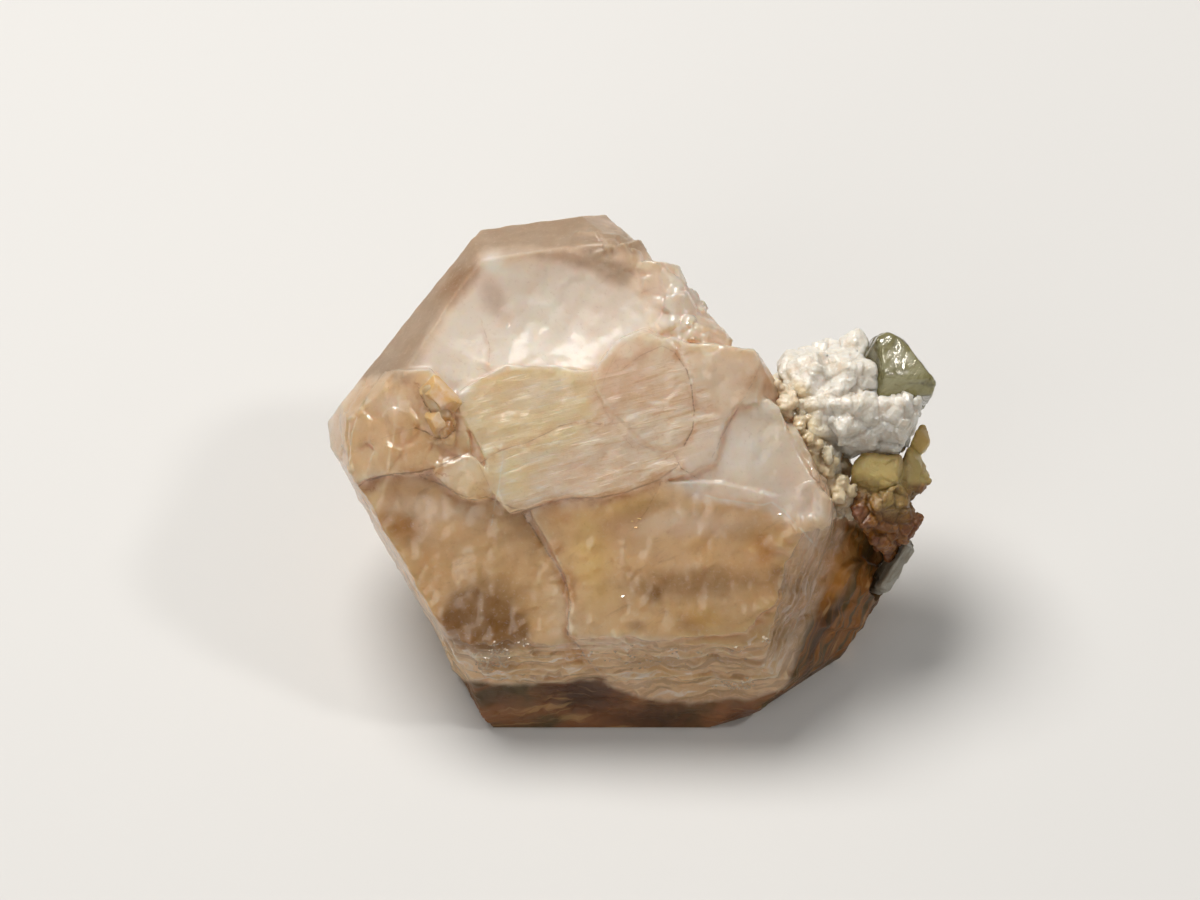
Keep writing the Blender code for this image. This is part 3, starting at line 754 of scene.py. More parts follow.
    dull = recipe.mark("dull")
    gloss = 0.36 - 0.05 * recipe.band(middling, 0.40, 0.65) + 0.06 * (fine - 0.5)
    gloss = gloss + 0.1 * side + 0.3 * dull
    coat = recipe.limit(0.5 - 0.5 * dull)
    relief = recipe.bumps((fine + middling * 0.4) * (1 - 0.8 * honeyed), 0.012)
    relief = recipe.bumps(layers * layered, 0.06, relief)
    relief = recipe.bumps(streaks * wavy, 0.06, relief)
    # The surface of the stained flank and of the foot, whose darkness is partly painted shade.
    stained = recipe.surface(
        {"Base Color": base, "Roughness": gloss, "Normal": relief},
        {
            "IOR": 1.5, "Specular IOR Level": 0.35, "Subsurface Weight": 0.3,
            "Subsurface Scale": 0.0005, "Subsurface Radius": (1.0, 0.45, 0.2),
            "Transmission Weight": 0.15, "Coat Weight": 0.1, "Coat Roughness": 0.2,
        },
    )
    return recipe.finish(
        {"Base Color": pink, "Roughness": gloss, "Coat Weight": coat, "Normal": relief},
        {
            "IOR": 1.63, "Subsurface Weight": 0.85, "Subsurface Scale": 0.0015,
            "Subsurface Radius": (1.0, 0.68, 0.45), "Transmission Weight": 0.5, "Coat Roughness": 0.08,
        },
        recipe.limit(flank + foot), stained,
    )


def prism_finish(colours):
    """The small prisms: clearer than the crystal they lie on, and honey brown on their shaded sides."""
    recipe = Recipe("small_clear_prisms")
    lying = recipe.lying()
    middling = recipe.speckle(lying, 1.6, 4.0, 0.6, 0.4)
    fine = recipe.speckle(lying, 6.0, 3.0, 0.6)
    clear = recipe.blend(recipe.band(middling, 0.38, 0.66), colours.honey, colours.rose)
    # Painted shade: honey brown on the sides turned to the left.
    clear = recipe.blend(recipe.limit(recipe.mark("painted_shade_marks") * (0.2 + middling)), clear, colours.honey)
    clear = recipe.blend(recipe.band(fine, 0.56, 0.72) * 0.25, clear, colours.milk_and_painted_sheen)
    relief = recipe.bumps(fine + middling, 0.02)
    return recipe.finish(
        {"Base Color": clear, "Roughness": 0.30 + 0.1 * fine, "Normal": relief},
        {
            "IOR": 1.63, "Subsurface Weight": 0.5, "Subsurface Scale": 0.001,
            "Subsurface Radius": (1.0, 0.7, 0.5), "Transmission Weight": 0.35, "Coat Weight": 0.4,
            "Coat Roughness": 0.08,
        },
    )


def feldspar_finish(colours):
    """Granular white feldspar, yellowed along the apatite."""
    recipe = Recipe("granular_white_feldspar")
    lying = recipe.lying()
    middling = recipe.speckle(lying, 1.3, 4.0, 0.6)
    fine = recipe.speckle(lying, 7.0, 3.0, 0.6)
    cell = recipe.grains(lying, 3.2)
    own = recipe.mark("own")
    cleft = recipe.mark("cleft")
    yellow = recipe.mark("yellow")
    white = recipe.blend(recipe.band(own, 0.2, 0.8), colours.white, colours.grey)
    white = recipe.blend(recipe.band(middling, 0.50, 0.70) * 0.55, white, colours.flesh)
    white = recipe.blend(recipe.limit(yellow * (0.4 + middling)), white, colours.honey)
    white = recipe.blend(cleft * 0.18, white, colours.shade)
    white = recipe.blend(recipe.band(fine, 0.58, 0.76) * 0.6, white, colours.bright)
    gloss = 0.32 + 0.35 * recipe.band(own, 0.25, 0.75) + 0.1 * (fine - 0.5)
    relief = recipe.bumps(fine + cell * 0.8, 0.05)
    return recipe.finish(
        {"Base Color": white, "Roughness": gloss, "Normal": relief},
        {
            "IOR": 1.53, "Subsurface Weight": 0.7, "Subsurface Scale": 0.0008,
            "Subsurface Radius": (1.0, 0.85, 0.7), "Transmission Weight": 0.15, "Coat Weight": 0.4,
            "Coat Roughness": 0.1,
        },
    )


def green_finish(colours):
    """A clear grey-green crystal with a few veils inside."""
    recipe = Recipe("clear_green_crystal")
    lying = recipe.lying()
    veil = recipe.speckle(recipe.lying((1.6, 0.5, 0.5), (20, 0, 35)), 1.0, 4.0, 0.6, 0.8)
    fine = recipe.speckle(lying, 6.0, 3.0, 0.6)
    green = recipe.blend(recipe.band(veil, 0.40, 0.66), colours.green, colours.pale)
    # Painted shade: the faces marked shade are drawn a darker green.
    green = recipe.blend(recipe.mark("shade") * 0.8, green, colours.painted_shade_green)
    gloss = 0.08 + 0.10 * recipe.band(veil, 0.5, 0.7) + 0.06 * fine
    return recipe.finish(
        {"Base Color": green, "Roughness": gloss, "Normal": recipe.bumps(veil + fine * 0.3, 0.04)},
        {
            "IOR": 1.57, "Subsurface Weight": 0.1, "Subsurface Scale": 0.0008,
            "Subsurface Radius": (1.0, 0.9, 0.5), "Transmission Weight": 0.75, "Coat Weight": 0.3,
            "Coat Roughness": 0.05,
        },
    )


def cluster_finish(colours):
    """Amber and olive grains, stained by iron."""
    recipe = Recipe("iron_stained_grains")
    lying = recipe.lying()
    middling = recipe.speckle(lying, 1.2, 4.0, 0.6)
    fine = recipe.speckle(lying, 6.0, 4.0, 0.65)
    own = recipe.mark("own")
    olive = recipe.mark("olive")
    amber = recipe.blend(recipe.band(own, 0.25, 0.75), colours.amber, colours.red_brown)
    granular = recipe.limit(recipe.mark("granules") * (0.3 + middling))
    amber = recipe.blend(granular, amber, colours.granules)
    amber = recipe.blend(recipe.mark("cleft") * 0.6, amber, colours.dark)
    amber = recipe.blend(olive, amber, colours.olive)
    amber = recipe.blend(recipe.mark("golden"), amber, colours.golden)
    amber = recipe.blend(recipe.band(fine, 0.60, 0.78) * 0.35, amber, colours.golden)
    gloss = 0.34 + 0.25 * recipe.band(own, 0.3, 0.8) + 0.1 * (fine - 0.5)
    return recipe.finish(
        {"Base Color": amber, "Roughness": gloss, "Normal": recipe.bumps(fine + middling, 0.05)},
        {
            "IOR": 1.58, "Subsurface Weight": 0.3, "Subsurface Scale": 0.0008,
            "Subsurface Radius": (1.0, 0.4, 0.1), "Transmission Weight": 0.35, "Coat Weight": 0.15,
            "Coat Roughness": 0.08,
        },
    )


def seam_finish(colours):
    """Clear, yellowish and pinkish grains along the seam."""
    recipe = Recipe("granular_seam")
    lying = recipe.lying()
    middling = recipe.speckle(lying, 1.6, 4.0, 0.6)
    fine = recipe.speckle(lying, 7.0, 3.0, 0.6)
    own = recipe.mark("own")
    clear = recipe.blend(recipe.band(own, 0.2, 0.8), colours.pinkish, colours.clear)
    clear = recipe.blend(recipe.limit(recipe.mark("yellow") * (0.2 + middling)), clear, colours.honey)
    clear = recipe.blend(recipe.mark("cleft") * 0.25, clear, colours.shade)
    clear = recipe.blend(recipe.band(fine, 0.60, 0.76) * 0.4, clear, colours.bright)
    gloss = 0.36 + 0.25 * recipe.band(own, 0.3, 0.8) + 0.1 * (fine - 0.5)
    return recipe.finish(
        {"Base Color": clear, "Roughness": gloss, "Normal": recipe.bumps(fine + middling, 0.04)},
        {
            "IOR": 1.55, "Subsurface Weight": 0.4, "Subsurface Scale": 0.0006,
            "Subsurface Radius": (1.0, 0.8, 0.5), "Transmission Weight": 0.3, "Coat Weight": 0.4,
            "Coat Roughness": 0.08,
        },
    )


def blade_finish(colours):
    """A pale cloudy blade."""
    recipe = Recipe("pale_cloudy_blade")
    lying = recipe.lying()
    veil = recipe.speckle(recipe.lying((0.4, 2.0, 1.0), (0, 0, -30)), 1.0, 4.0, 0.6, 0.4)
    fine = recipe.speckle(lying, 6.0, 3.0, 0.6)
    pale = recipe.blend(recipe.band(veil, 0.38, 0.66), colours.beige, colours.white)
    pale = recipe.blend(recipe.band(fine, 0.5, 0.3) * 0.3, pale, colours.grey)
    relief = recipe.bumps(veil + fine, 0.04)
    return recipe.finish(
        {"Base Color": pale, "Roughness": 0.32 + 0.25 * fine, "Normal": relief},
        {
            "IOR": 1.55, "Subsurface Weight": 0.5, "Subsurface Scale": 0.0008,
            "Subsurface Radius": (1.0, 0.8, 0.6), "Transmission Weight": 0.2,
        },
    )


def chip_finish(colours):
    """Cleavage chips that catch the light, some of them stained gold."""
    recipe = Recipe("bright_cleavage_chips")
    fine = recipe.speckle(recipe.lying(), 8.0, 2.0, 0.5)
    chip = recipe.blend(recipe.mark("golden"), colours.clear, colours.gold)
    chip = recipe.blend(fine * 0.4, chip, colours.pink)
    return recipe.finish(
        {"Base Color": chip, "Roughness": 0.06 + 0.1 * fine},
        {"IOR": 1.63, "Transmission Weight": 0.35, "Coat Weight": 0.8, "Coat Roughness": 0.06},
    )


def floor_finish(colour):
    recipe = Recipe("pale_table")
    where = recipe.node("ShaderNodeTexCoord", {}, {}, 3)
    grey = recipe.speckle(where, 60.0, 4.0, 0.6)
    shade = recipe.blend(grey * 0.06, tuple(colour), (0.5, 0.5, 0.5))
    return recipe.finish({"Base Color": shade}, {"Roughness": 0.85})


# The pieces


def looks_along(azimuth, slope):
    across = math.radians(azimuth)
    down = math.radians(slope)
    level = math.sin(down)
    return np.array([level * math.cos(across), level * math.sin(across), math.cos(down)])


def toward_ledges(spot):
    """From 0 on the plates to 1 at the lower and right-hand edges, where the thin layers show."""
    lower = smooth(-9.0, -9.8, spot[:, 1])
    right = smooth(9.6, 10.6, spot @ (0.934, -0.358))
    return np.maximum(lower, right)


def wander(points, free):
    """Makes edges wander a little, as broken and grown edges do."""
    broad = np.stack([rubble(points, 1.7, 11 + 10 * axis, 2) for axis in range(3)], axis=1)
    small = np.stack([rubble(points, 0.55, 12 + 10 * axis, 2) for axis in range(3)], axis=1)
    spot = seen(points)
    ledges = toward_ledges(spot)
    grown = smooth(7.5, 9.5, spot @ (-0.74, 0.67)) + smooth(9.5, 10.5, spot[:, 1])
    sway = 0.09 + 0.09 * ledges - 0.06 * grown.clip(0, 1)
    return points + (broad * sway[:, None] + small * sway[:, None] * 0.5) * free[:, None]


def apatite_relief(points, facing):
    """How far each point of the apatite stands out or in."""
    up = facing[:, 2]
    spot = seen(points)
    front = smooth(0.10, 0.45, up)
    under = smooth(-0.3, -0.7, up)
    hollow = inside(spot, PALE_HOLLOW, 0.3)
    layered = smooth(0.85, 0.50, up) * (1 - under) * toward_ledges(spot)

    relief = 0.04 * rubble(points, 3.2, 3) * (1 - 0.7 * hollow)
    relief += 0.006 * rubble(points, 0.9, 4) + 0.002 * rubble(points, 0.35, 5)

    turned = points @ np.array(Matrix.Rotation(math.radians(-16), 3, "Z")).T
    turned[:, 1] += 0.45 * waves(points, 1.9, 21) + 0.12 * waves(points, 0.7, 22)
    wavy = inside(spot, WAVY_FIELD, 0.3) * front
    relief += wavy * where_shown(wavy, lambda p: 0.026 * rubble(p, (2.2, 0.26, 1.5), 6, 2), turned)

    layered = layered * (1 - 0.6 * smooth(8.0, 9.6, spot[:, 0]))
    depth = points[:, 2] + 0.10 * rubble(points * (1, 1, 0.3), 3.6, 7)
    step = depth / LAYER % 1.0
    ragged = 0.5 + 0.5 * waves(points, 1.4, 8)
    relief += layered * (0.15 * (step - 0.5) * ragged + 0.012 * rubble(points, (2.6, 2.6, 0.2), 9, 2))

    shoulder = clouds(spot, SHOULDER) * (1 - hollow)
    relief += shoulder * where_shown(shoulder, lambda p: 0.05 + lumps(p, 1.0, 0.22, 31, 0.05), points)
    block = inside(spot, LEFT_BLOCK, 0.3) * front
    relief += block * where_shown(block, lambda p: lumps(p, 1.6, 0.10, 41, 0.02), points)

    crack = np.zeros((len(points), 3))
    crack[front > 0] = nearest_crack(spot[front > 0])
    groove = np.exp(-(crack[:, 0] / 0.06) ** 2)
    chips = np.exp(-(crack[:, 0] / 0.22) ** 2)
    relief -= front * groove * crack[:, 1] * 0.05
    relief += front * chips * (crack[:, 1] * 0.3 + crack[:, 2]) * 0.05 * rubble(points, 0.2, 51, 2)

    broken = where_shown(under, lambda p: lumps(p, 2.6, 0.10, 61, 0.012), points)
    relief += under * (0.10 * rubble(points, 1.4, 62) + broken)
    return relief


def stain_apatite(piece):
    """Marks where the apatite is milky, creamy, brown, rusty and cracked, where its hollow takes a
    painted reflection, and where its rims, dents, band and foot take painted light and shade.
    """
    points = points_of(piece)
    facing = facing_of(piece)
    spot = seen(points)
    spot += np.stack([rubble(points, 0.8, 71, 2), rubble(points, 0.8, 73, 2)], axis=1) * 0.10
    up = facing[:, 2]
    front = smooth(-0.05, 0.35, up)
    hollow = inside(spot, PALE_HOLLOW, 0.22)
    cloudy = inside(spot, CLOUDY_STEP, 0.35)
    toward = smooth(-0.5, 0.0, up)
    foot = inside(spot, DARK_FOOT, 0.16) * toward
    flank = inside(spot, STAINED_FLANK, 0.22) * toward
    ledges = inside(spot, LEDGES, 0.25) * toward * (1 - foot) * (1 - flank)
    ledges *= 1 - 0.55 * smooth(8.2, 9.6, spot[:, 0])
    stain(piece, "ledges", ledges)
    face = front * (1 - flank) * (1 - foot)
    # Darker foot patches: partly stain, partly painted shade.
    stain(piece, "murk_and_painted_shade", foot * clouds(spot, MURKY_FOOT))
    # The upper band is partly glassy brown and partly painted shade; the curve along the hollow's upper
    # rim is painted shade that dims the light the rim catches.
    upper = face * inside(spot, UPPER_BAND, 0.25)
    rim = smooth(1.0, 0.3, to_line(spot, PALE_HOLLOW[:14])[0])
    painted_shade_arc = smooth(0.95, 0.25, to_line(spot, PALE_HOLLOW[:9])[0]) * (1 - clouds(spot, BARE_RIM))
    stain(piece, "band", np.maximum(upper, 0.8 * painted_shade_arc))
    stain(piece, "dull", np.maximum.reduce([0.7 * upper, rim, 0.6 * hollow]))
    # A painted highlight at the hollow's upper edge.
    stain(piece, "bright", clouds(spot, WHITE_SPOT))
    lower = np.maximum(inside(spot, FRONT_LEFT_FACE, 0.6), inside(spot, FRONT_RIGHT_FACE, 0.6))
    back = smooth(0.15, -0.25, up)
    patches = smooth(-0.2, 0.7, rubble(points, 3.0, 75))
    stain(piece, "honeyed", back * (0.35 + 0.5 * patches) + face * np.maximum.reduce([
        lower, 0.7 * inside(spot, LEFT_BLOCK, 0.5), inside(spot, LEDGES, 0.4),
        smooth(-8.8, -9.6, spot[:, 1]),
    ]))
    # The hollow's white is a painted reflection; the white clouds and the cloudy step are real
    # milkiness.
    milky = np.maximum.reduce([0.85 * hollow, 0.6 * cloudy, clouds(spot, WHITE_CLOUDS)])
    stain(piece, "milk_and_painted_sheen", face * (1 - 0.85 * painted_shade_arc) * milky)
    stain(piece, "cream", face * np.maximum(
        0.8 * inside(spot, CREAM_FIELD, 0.5), clouds(spot, CREAM_CORNER),
    ))
    stain(piece, "wavy", face * inside(spot, WAVY_FIELD, 0.3))
    stain(piece, "brown", front * np.maximum(
        clouds(spot, BROWN_CLOUDS), 0.95 * inside(spot, BROWN_PATCH, 0.30),
    ) + 0.45 * back * smooth(0.1, 0.8, rubble(points, 2.2, 77)))
    stain(piece, "rust", front * clouds(spot, RUST_CLOUDS))
    stain(piece, "yellow", face * clouds(spot, YELLOW_CLOUDS))
    # From the bend of the surface: a painted highlight on convex ledge rims, and painted shade in
    # concave dents.
    bend = curvature(piece, 3)
    stain(piece, "painted_highlight_rims", smooth(0.05, 0.18, bend) * 0.7 * ledges)
    stain(piece, "painted_shade_marks", smooth(-0.06, -0.2, bend) * (0.5 + 0.5 * ledges))
    stain(piece, "side", smooth(0.9, 0.6, up) * toward_ledges(spot))
    stain(piece, "flank", flank)
    stain(piece, "foot", foot)
    kept = piece.data.attributes.new("crack", "FLOAT_VECTOR", "POINT")
    crack = nearest_crack(seen(points))
    crack[:, 1:] *= front[:, None]
    kept.data.foreach_set("vector", crack.astype(np.float32).ravel())


def broken_grains(piece, size, tilt, seed, swell, cleft):
    """Gives a lump the flat faces and clefts of packed grains."""
    points = points_of(piece)
    facing = facing_of(piece)
    sway = np.stack([rubble(points, 0.6, seed + axis, 2) for axis in range(3)], axis=1)
    points = points + 0.06 * sway
    coarse, coarse_edge, _ = facets(points, size, tilt, seed)
    small, small_edge, _ = facets(points, size * 0.42, tilt * 0.8, seed + 20)
    clefts = smooth(0.10, 0.0, coarse_edge) + 0.4 * smooth(0.05, 0.0, small_edge)
    relief = swell + coarse + small - cleft * clefts
    move_points(piece, points + facing * relief[:, None])


def note_grains(piece, size, seed):
    """Keeps each point's grain and how near it is to a cleft, for the finish."""
    points = points_of(piece)
    _, edge, own = facets(points, size, 0.0, seed)
    _, small_edge, small = facets(points, size * 0.42, 0.0, seed + 20)
    stain(piece, "own", 0.5 * own + 0.5 * small)
    stain(piece, "cleft", np.maximum(smooth(0.10, 0.0, edge), 0.6 * smooth(0.05, 0.0, small_edge)))
    return points


def scatter(model, name, places):
    """Copies a small model to each place and joins the copies."""
    copies = []
    for place in places:
        mesh = model.data.copy()
        mesh.transform(place)
        copy = bpy.data.objects.new(name, mesh)
        bpy.context.scene.collection.objects.link(copy)
        copies.append(copy)
    only(copies[0])
    for copy in copies:
        copy.select_set(True)
    bpy.ops.object.join()
    joined = bpy.context.view_layer.objects.active
    bpy.data.objects.remove(model)
    return joined


def turned_to(point, normal, size, spin):
    """A place on a surface, turned to its normal and spun round it."""
    aim = Vector(normal).to_track_quat("Z", "Y").to_matrix().to_4x4()
    turn = aim @ Matrix.Rotation(spin, 4, "Z")
    return Matrix.Translation(point) @ turn @ Matrix.Diagonal((*size, 1.0))


def colour(name, description, default):
    return FloatVectorProperty(
        name=name, description=description, subtype="COLOR", size=3, min=0.0, max=1.0, default=default,
    )


def finest(default):
    return FloatProperty(
        name="Grain", description="Size of the smallest modelled detail, in millimetres", min=0.04,
        default=default,
    )


def most_triangles(default):
    return IntProperty(name="Triangles", description="Most triangles in the piece", default=default)


# Settings


class ApatiteSettings(bpy.types.PropertyGroup):
    grain: finest(0.1)
    triangles: most_triangles(190000)
    pink: colour("Pink", "Body of the crystal", (0.96, 0.78, 0.60))
    rose: colour("Rose", "Pinker clouds", (0.88, 0.64, 0.45))
    tan: colour("Tan", "Brownish clouds", (0.68, 0.42, 0.17))
    # Milky clouds of the crystal, and the painted reflection in the hollow.
    milk_and_painted_sheen: colour("Milk", "Milky hollow", (0.97, 0.86, 0.77))
    white: colour("White", "Chipped edges and white cracks", (0.97, 0.94, 0.86))
    cream: colour("Cream", "Cream middle", (0.99, 0.78, 0.47))
    yellow: colour("Yellow", "Yellowed front", (0.90, 0.62, 0.20))
    brown: colour("Brown", "Brown clouds", (0.27, 0.105, 0.008))
    crack: colour("Crack", "Lines of the cracks", (0.20, 0.075, 0.02))
    rust: colour("Rust", "Iron in the cracks", (0.56, 0.23, 0.03))
    honey: colour("Honey", "Browner lower faces", (0.80, 0.49, 0.18))
    # Glassy brown, and painted shade over the band and the hollow's upper rim.
    glassy_band_and_painted_shade: colour("Glass", "Brownish band round the hollow", (0.42, 0.29, 0.18))
    # Red-brown of the foot, darkened as painted shade.
    ruddy_and_painted_shade: colour("Ruddy", "Foot of the crystal", (0.26, 0.10, 0.03))
    amber: colour("Amber", "Stained flank", (0.25, 0.088, 0.008))
    olive: colour("Olive", "Olive bands of the flank", (0.09, 0.055, 0.012))
    # Real stains on the flank, and on the foot partly painted shade.
    dark: colour("Dark", "Darkest iron stains", (0.045, 0.012, 0.002))


class FeldsparSettings(bpy.types.PropertyGroup):
    grain: finest(0.07)
    triangles: most_triangles(120000)
    broken: FloatProperty(
        name="Broken", description="Width of a broken grain, in millimetres", default=1.25,
    )
    white: colour("White", "Clean grains", (0.83, 0.79, 0.72))
    grey: colour("Grey", "Clearer grains", (0.72, 0.67, 0.58))
    flesh: colour("Flesh", "Pinkish patches", (0.74, 0.60, 0.46))
    honey: colour("Honey", "Yellowed grains along the apatite", (0.74, 0.58, 0.34))
    shade: colour("Shade", "Clefts between the grains", (0.60, 0.52, 0.40))
    bright: colour("Bright", "Sparkling specks", (1.0, 1.0, 0.98))


class GreenSettings(bpy.types.PropertyGroup):
    grain: finest(0.06)
    triangles: most_triangles(60000)
    green: colour("Green", "Body of the crystal", (0.28, 0.25, 0.10))
    pale: colour("Pale", "Veils inside", (0.50, 0.48, 0.32))
    # The darker green is painted shade on faces turned to the left and towards the foot.
    painted_shade_green: colour("Deep", "Deep green edges", (0.10, 0.085, 0.03))


class ClusterSettings(bpy.types.PropertyGroup):
    grain: finest(0.06)
    triangles: most_triangles(120000)
    amber: colour("Amber", "Body of the grains", (0.36, 0.135, 0.008))
    red_brown: colour("Red brown", "Redder grains", (0.22, 0.065, 0.008))
    granules: colour("Granules", "Yellow-brown granules", (0.42, 0.28, 0.07))
    dark: colour("Dark", "Clefts between the grains", (0.09, 0.035, 0.01))
    olive: colour("Olive", "Clear olive dome", (0.66, 0.50, 0.17))
    golden: colour("Golden", "Golden grain at the back", (0.66, 0.46, 0.14))


class BladeSettings(bpy.types.PropertyGroup):
    grain: finest(0.06)
    triangles: most_triangles(20000)
    beige: colour("Beige", "Body of the blade", (0.27, 0.24, 0.18))
    white: colour("White", "Cloudy bands", (0.44, 0.43, 0.38))
    grey: colour("Grey", "Specks", (0.34, 0.30, 0.24))


class PrismSettings(bpy.types.PropertyGroup):
    grain: finest(0.04)
    triangles: most_triangles(40000)


class SeamSettings(bpy.types.PropertyGroup):
    grain: finest(0.06)
    triangles: most_triangles(90000)
    count: IntProperty(name="Count", description="How many small grains fill the seam", default=170)
    size: FloatProperty(name="Size", description="Width of a grain, in millimetres", default=0.66)
    pinkish: colour("Pinkish", "Pinkish grains", (0.84, 0.64, 0.45))
    clear: colour("Clear", "Clear grains", (0.86, 0.78, 0.62))
    honey: colour("Honey", "Yellow-brown grains", (0.76, 0.58, 0.32))
    shade: colour("Shade", "Clefts between the grains", (0.70, 0.54, 0.33))
    bright: colour("Bright", "Sparkling specks", (0.92, 0.90, 0.84))


class ChipSettings(bpy.types.PropertyGroup):
    count: IntProperty(name="Count", description="How many bright chips lie on the ledges", default=190)
    size: FloatProperty(name="Size", description="Width of a chip, in millimetres", default=0.13)
    clear: colour("Clear", "Clear chips", (0.96, 0.84, 0.66))
    gold: colour("Gold", "Iron-stained chips", (0.90, 0.62, 0.22))
    pink: colour("Pink", "Tint of the apatite", (0.70, 0.50, 0.38))


class StageSettings(bpy.types.PropertyGroup):
    width: FloatProperty(
        name="Width", description="Width of the table", subtype="DISTANCE", unit="LENGTH", default=6.0,
    )
    brightness: FloatProperty(
        name="Brightness", description="Strength of the light from all round", default=0.17,
    )
    floor: colour("Floor", "Pale table", (0.62, 0.615, 0.605))
    sky: colour("Sky", "Soft light from all round", (0.96, 0.96, 0.94))
    lens: FloatProperty(name="Lens", description="Focal length in millimetres", default=120.0)
    elevation: FloatProperty(
        name="Elevation", description="How far above the table the eye is", subtype="ANGLE",
        default=math.radians(50.0),
    )
    distance: FloatProperty(
        name="Distance", description="From the eye to the broad face", subtype="DISTANCE",
        unit="LENGTH", default=EYE * MM,
    )


# Operators


class SPECIMEN_OT_apatite(bpy.types.Operator):
    """Works the pink apatite crystal: ledges, wavy field, broken lumps, cracks and stains"""

    bl_idname = "specimen.apatite"
    bl_label = "Apatite crystal"

    def execute(self, context):
        settings = context.scene.apatite_settings
        piece = rough_copy("apatite_crystal", "pink_apatite_crystal")
        grain = settings.grain * 1.0
        apply_modifier(piece, "REMESH", mode="VOXEL", voxel_size=grain)
        points = points_of(piece)
        free = smooth(0.1, 0.9, above_table(points))
        move_points(piece, wander(points, free))
        points = points_of(piece)
        facing = facing_of(piece)
        relief = apatite_relief(points, facing) * smooth(0.1, 0.9, above_table(points))
        move_points(piece, points + facing * relief[:, None])
        thin_out(piece, settings.triangles)
        stain_apatite(piece)
        set_in_place(piece, "root", "pink_apatite", pink_finish(settings), "apatite_crystal")
        return {"FINISHED"}


class SPECIMEN_OT_feldspar(bpy.types.Operator):
    """Works the lump of white feldspar out of small cleaved grains"""

    bl_idname = "specimen.feldspar"
    bl_label = "White feldspar"

    def execute(self, context):
        settings = context.scene.feldspar_settings
        piece = rough_copy("feldspar_matrix", "white_feldspar")
        refine(piece, settings.grain, 3)
        broken_grains(piece, settings.broken, 0.22, 101, 0.10, 0.015)
        thin_out(piece, settings.triangles)
        points = note_grains(piece, settings.broken, 101)
        stain(piece, "yellow", clouds(seen(points), YELLOWED_FELDSPAR))
        set_in_place(piece, "root", "white_feldspar", feldspar_finish(settings), "feldspar_matrix")
        return {"FINISHED"}


class SPECIMEN_OT_green_crystal(bpy.types.Operator):
    """Works the clear green crystal with softened edges and shallow dents"""

    bl_idname = "specimen.green_crystal"
    bl_label = "Green crystal"

    def execute(self, context):
        settings = context.scene.green_settings
        piece = rough_copy("green_crystal", "clear_green_crystal")
        refine(piece, settings.grain, 6)
        points = points_of(piece)
        facing = facing_of(piece)
        tilted, _, _ = facets(points, 1.1, 0.10, 201)
        relief = 0.12 + 0.03 * rubble(points, 1.0, 202) + 0.4 * tilted
        move_points(piece, points + facing * relief[:, None])
        thin_out(piece, settings.triangles)
        points = points_of(piece)
        facing = facing_of(piece)
        # Painted shade: faces turned to the left and towards the foot are marked to be drawn darker.
        shade = smooth(0.30, 0.75, facing @ looks_along(185, 60))
        shade += 0.6 * smooth(0.5, 0.9, -facing[:, 1])
        stain(piece, "shade", np.clip(shade + 0.3 * rubble(points, 0.7, 203), 0, 1))
        set_in_place(piece, "root", "green_crystal", green_finish(settings), "green_crystal")
        return {"FINISHED"}


class SPECIMEN_OT_stained_cluster(bpy.types.Operator):
    """Works the iron-stained grains, the olive dome among them and the golden grain behind"""

    bl_idname = "specimen.stained_cluster"
    bl_label = "Iron-stained cluster"

    def execute(self, context):
        settings = context.scene.cluster_settings
        piece = rough_copy("iron_stained_cluster", "iron_stained_cluster_grains")
        refine(piece, settings.grain, 4)
        points = points_of(piece)
        facing = facing_of(piece)
        spot = seen(points)
        even = clouds(spot, SMOOTH_GRAINS)
        rough = lumps(points, AMBER_GRAIN, 0.32, 301, 0.06) + lumps(points, 0.3, 0.25, 321, 0.02)
        relief = 0.10 + 0.06 * even + rough * (1 - 0.85 * even) + 0.02 * rubble(points, 0.6, 302)
        move_points(piece, points + facing * relief[:, None])
        thin_out(piece, settings.triangles)
        points = note_grains(piece, AMBER_GRAIN, 301)
        spot = seen(points)
        strip = smooth(15.2, 15.45, spot[:, 0]) * smooth(-1.9, -1.5, spot[:, 1])
        stain(piece, "olive", np.maximum(clouds(spot, OLIVE_DOME), strip))
        stain(piece, "golden", clouds(spot, GOLDEN_GRAIN).clip(0, 1))
        stain(piece, "granules", clouds(spot, GRANULES))
        finish = cluster_finish(settings)
        set_in_place(piece, "root", "iron_stained_grains", finish, "iron_stained_cluster")
        return {"FINISHED"}


class SPECIMEN_OT_pale_blade(bpy.types.Operator):
    """Works the small pale blade below the cluster"""

    bl_idname = "specimen.pale_blade"
    bl_label = "Pale blade"

    def execute(self, context):
        settings = context.scene.blade_settings
        piece = rough_copy("pale_blade", "pale_cloudy_blade")
        refine(piece, settings.grain, 6)
        points = points_of(piece)
        tilted, edge, _ = facets(points, 0.8, 0.25, 401)
        relief = 0.06 + 0.03 * rubble(points, 0.7, 402) + 0.6 * tilted - 0.02 * smooth(0.06, 0.0, edge)
        move_points(piece, points + facing_of(piece) * relief[:, None])
        thin_out(piece, settings.triangles)
        set_in_place(piece, "root", "pale_blade", blade_finish(settings), "pale_blade")
        return {"FINISHED"}


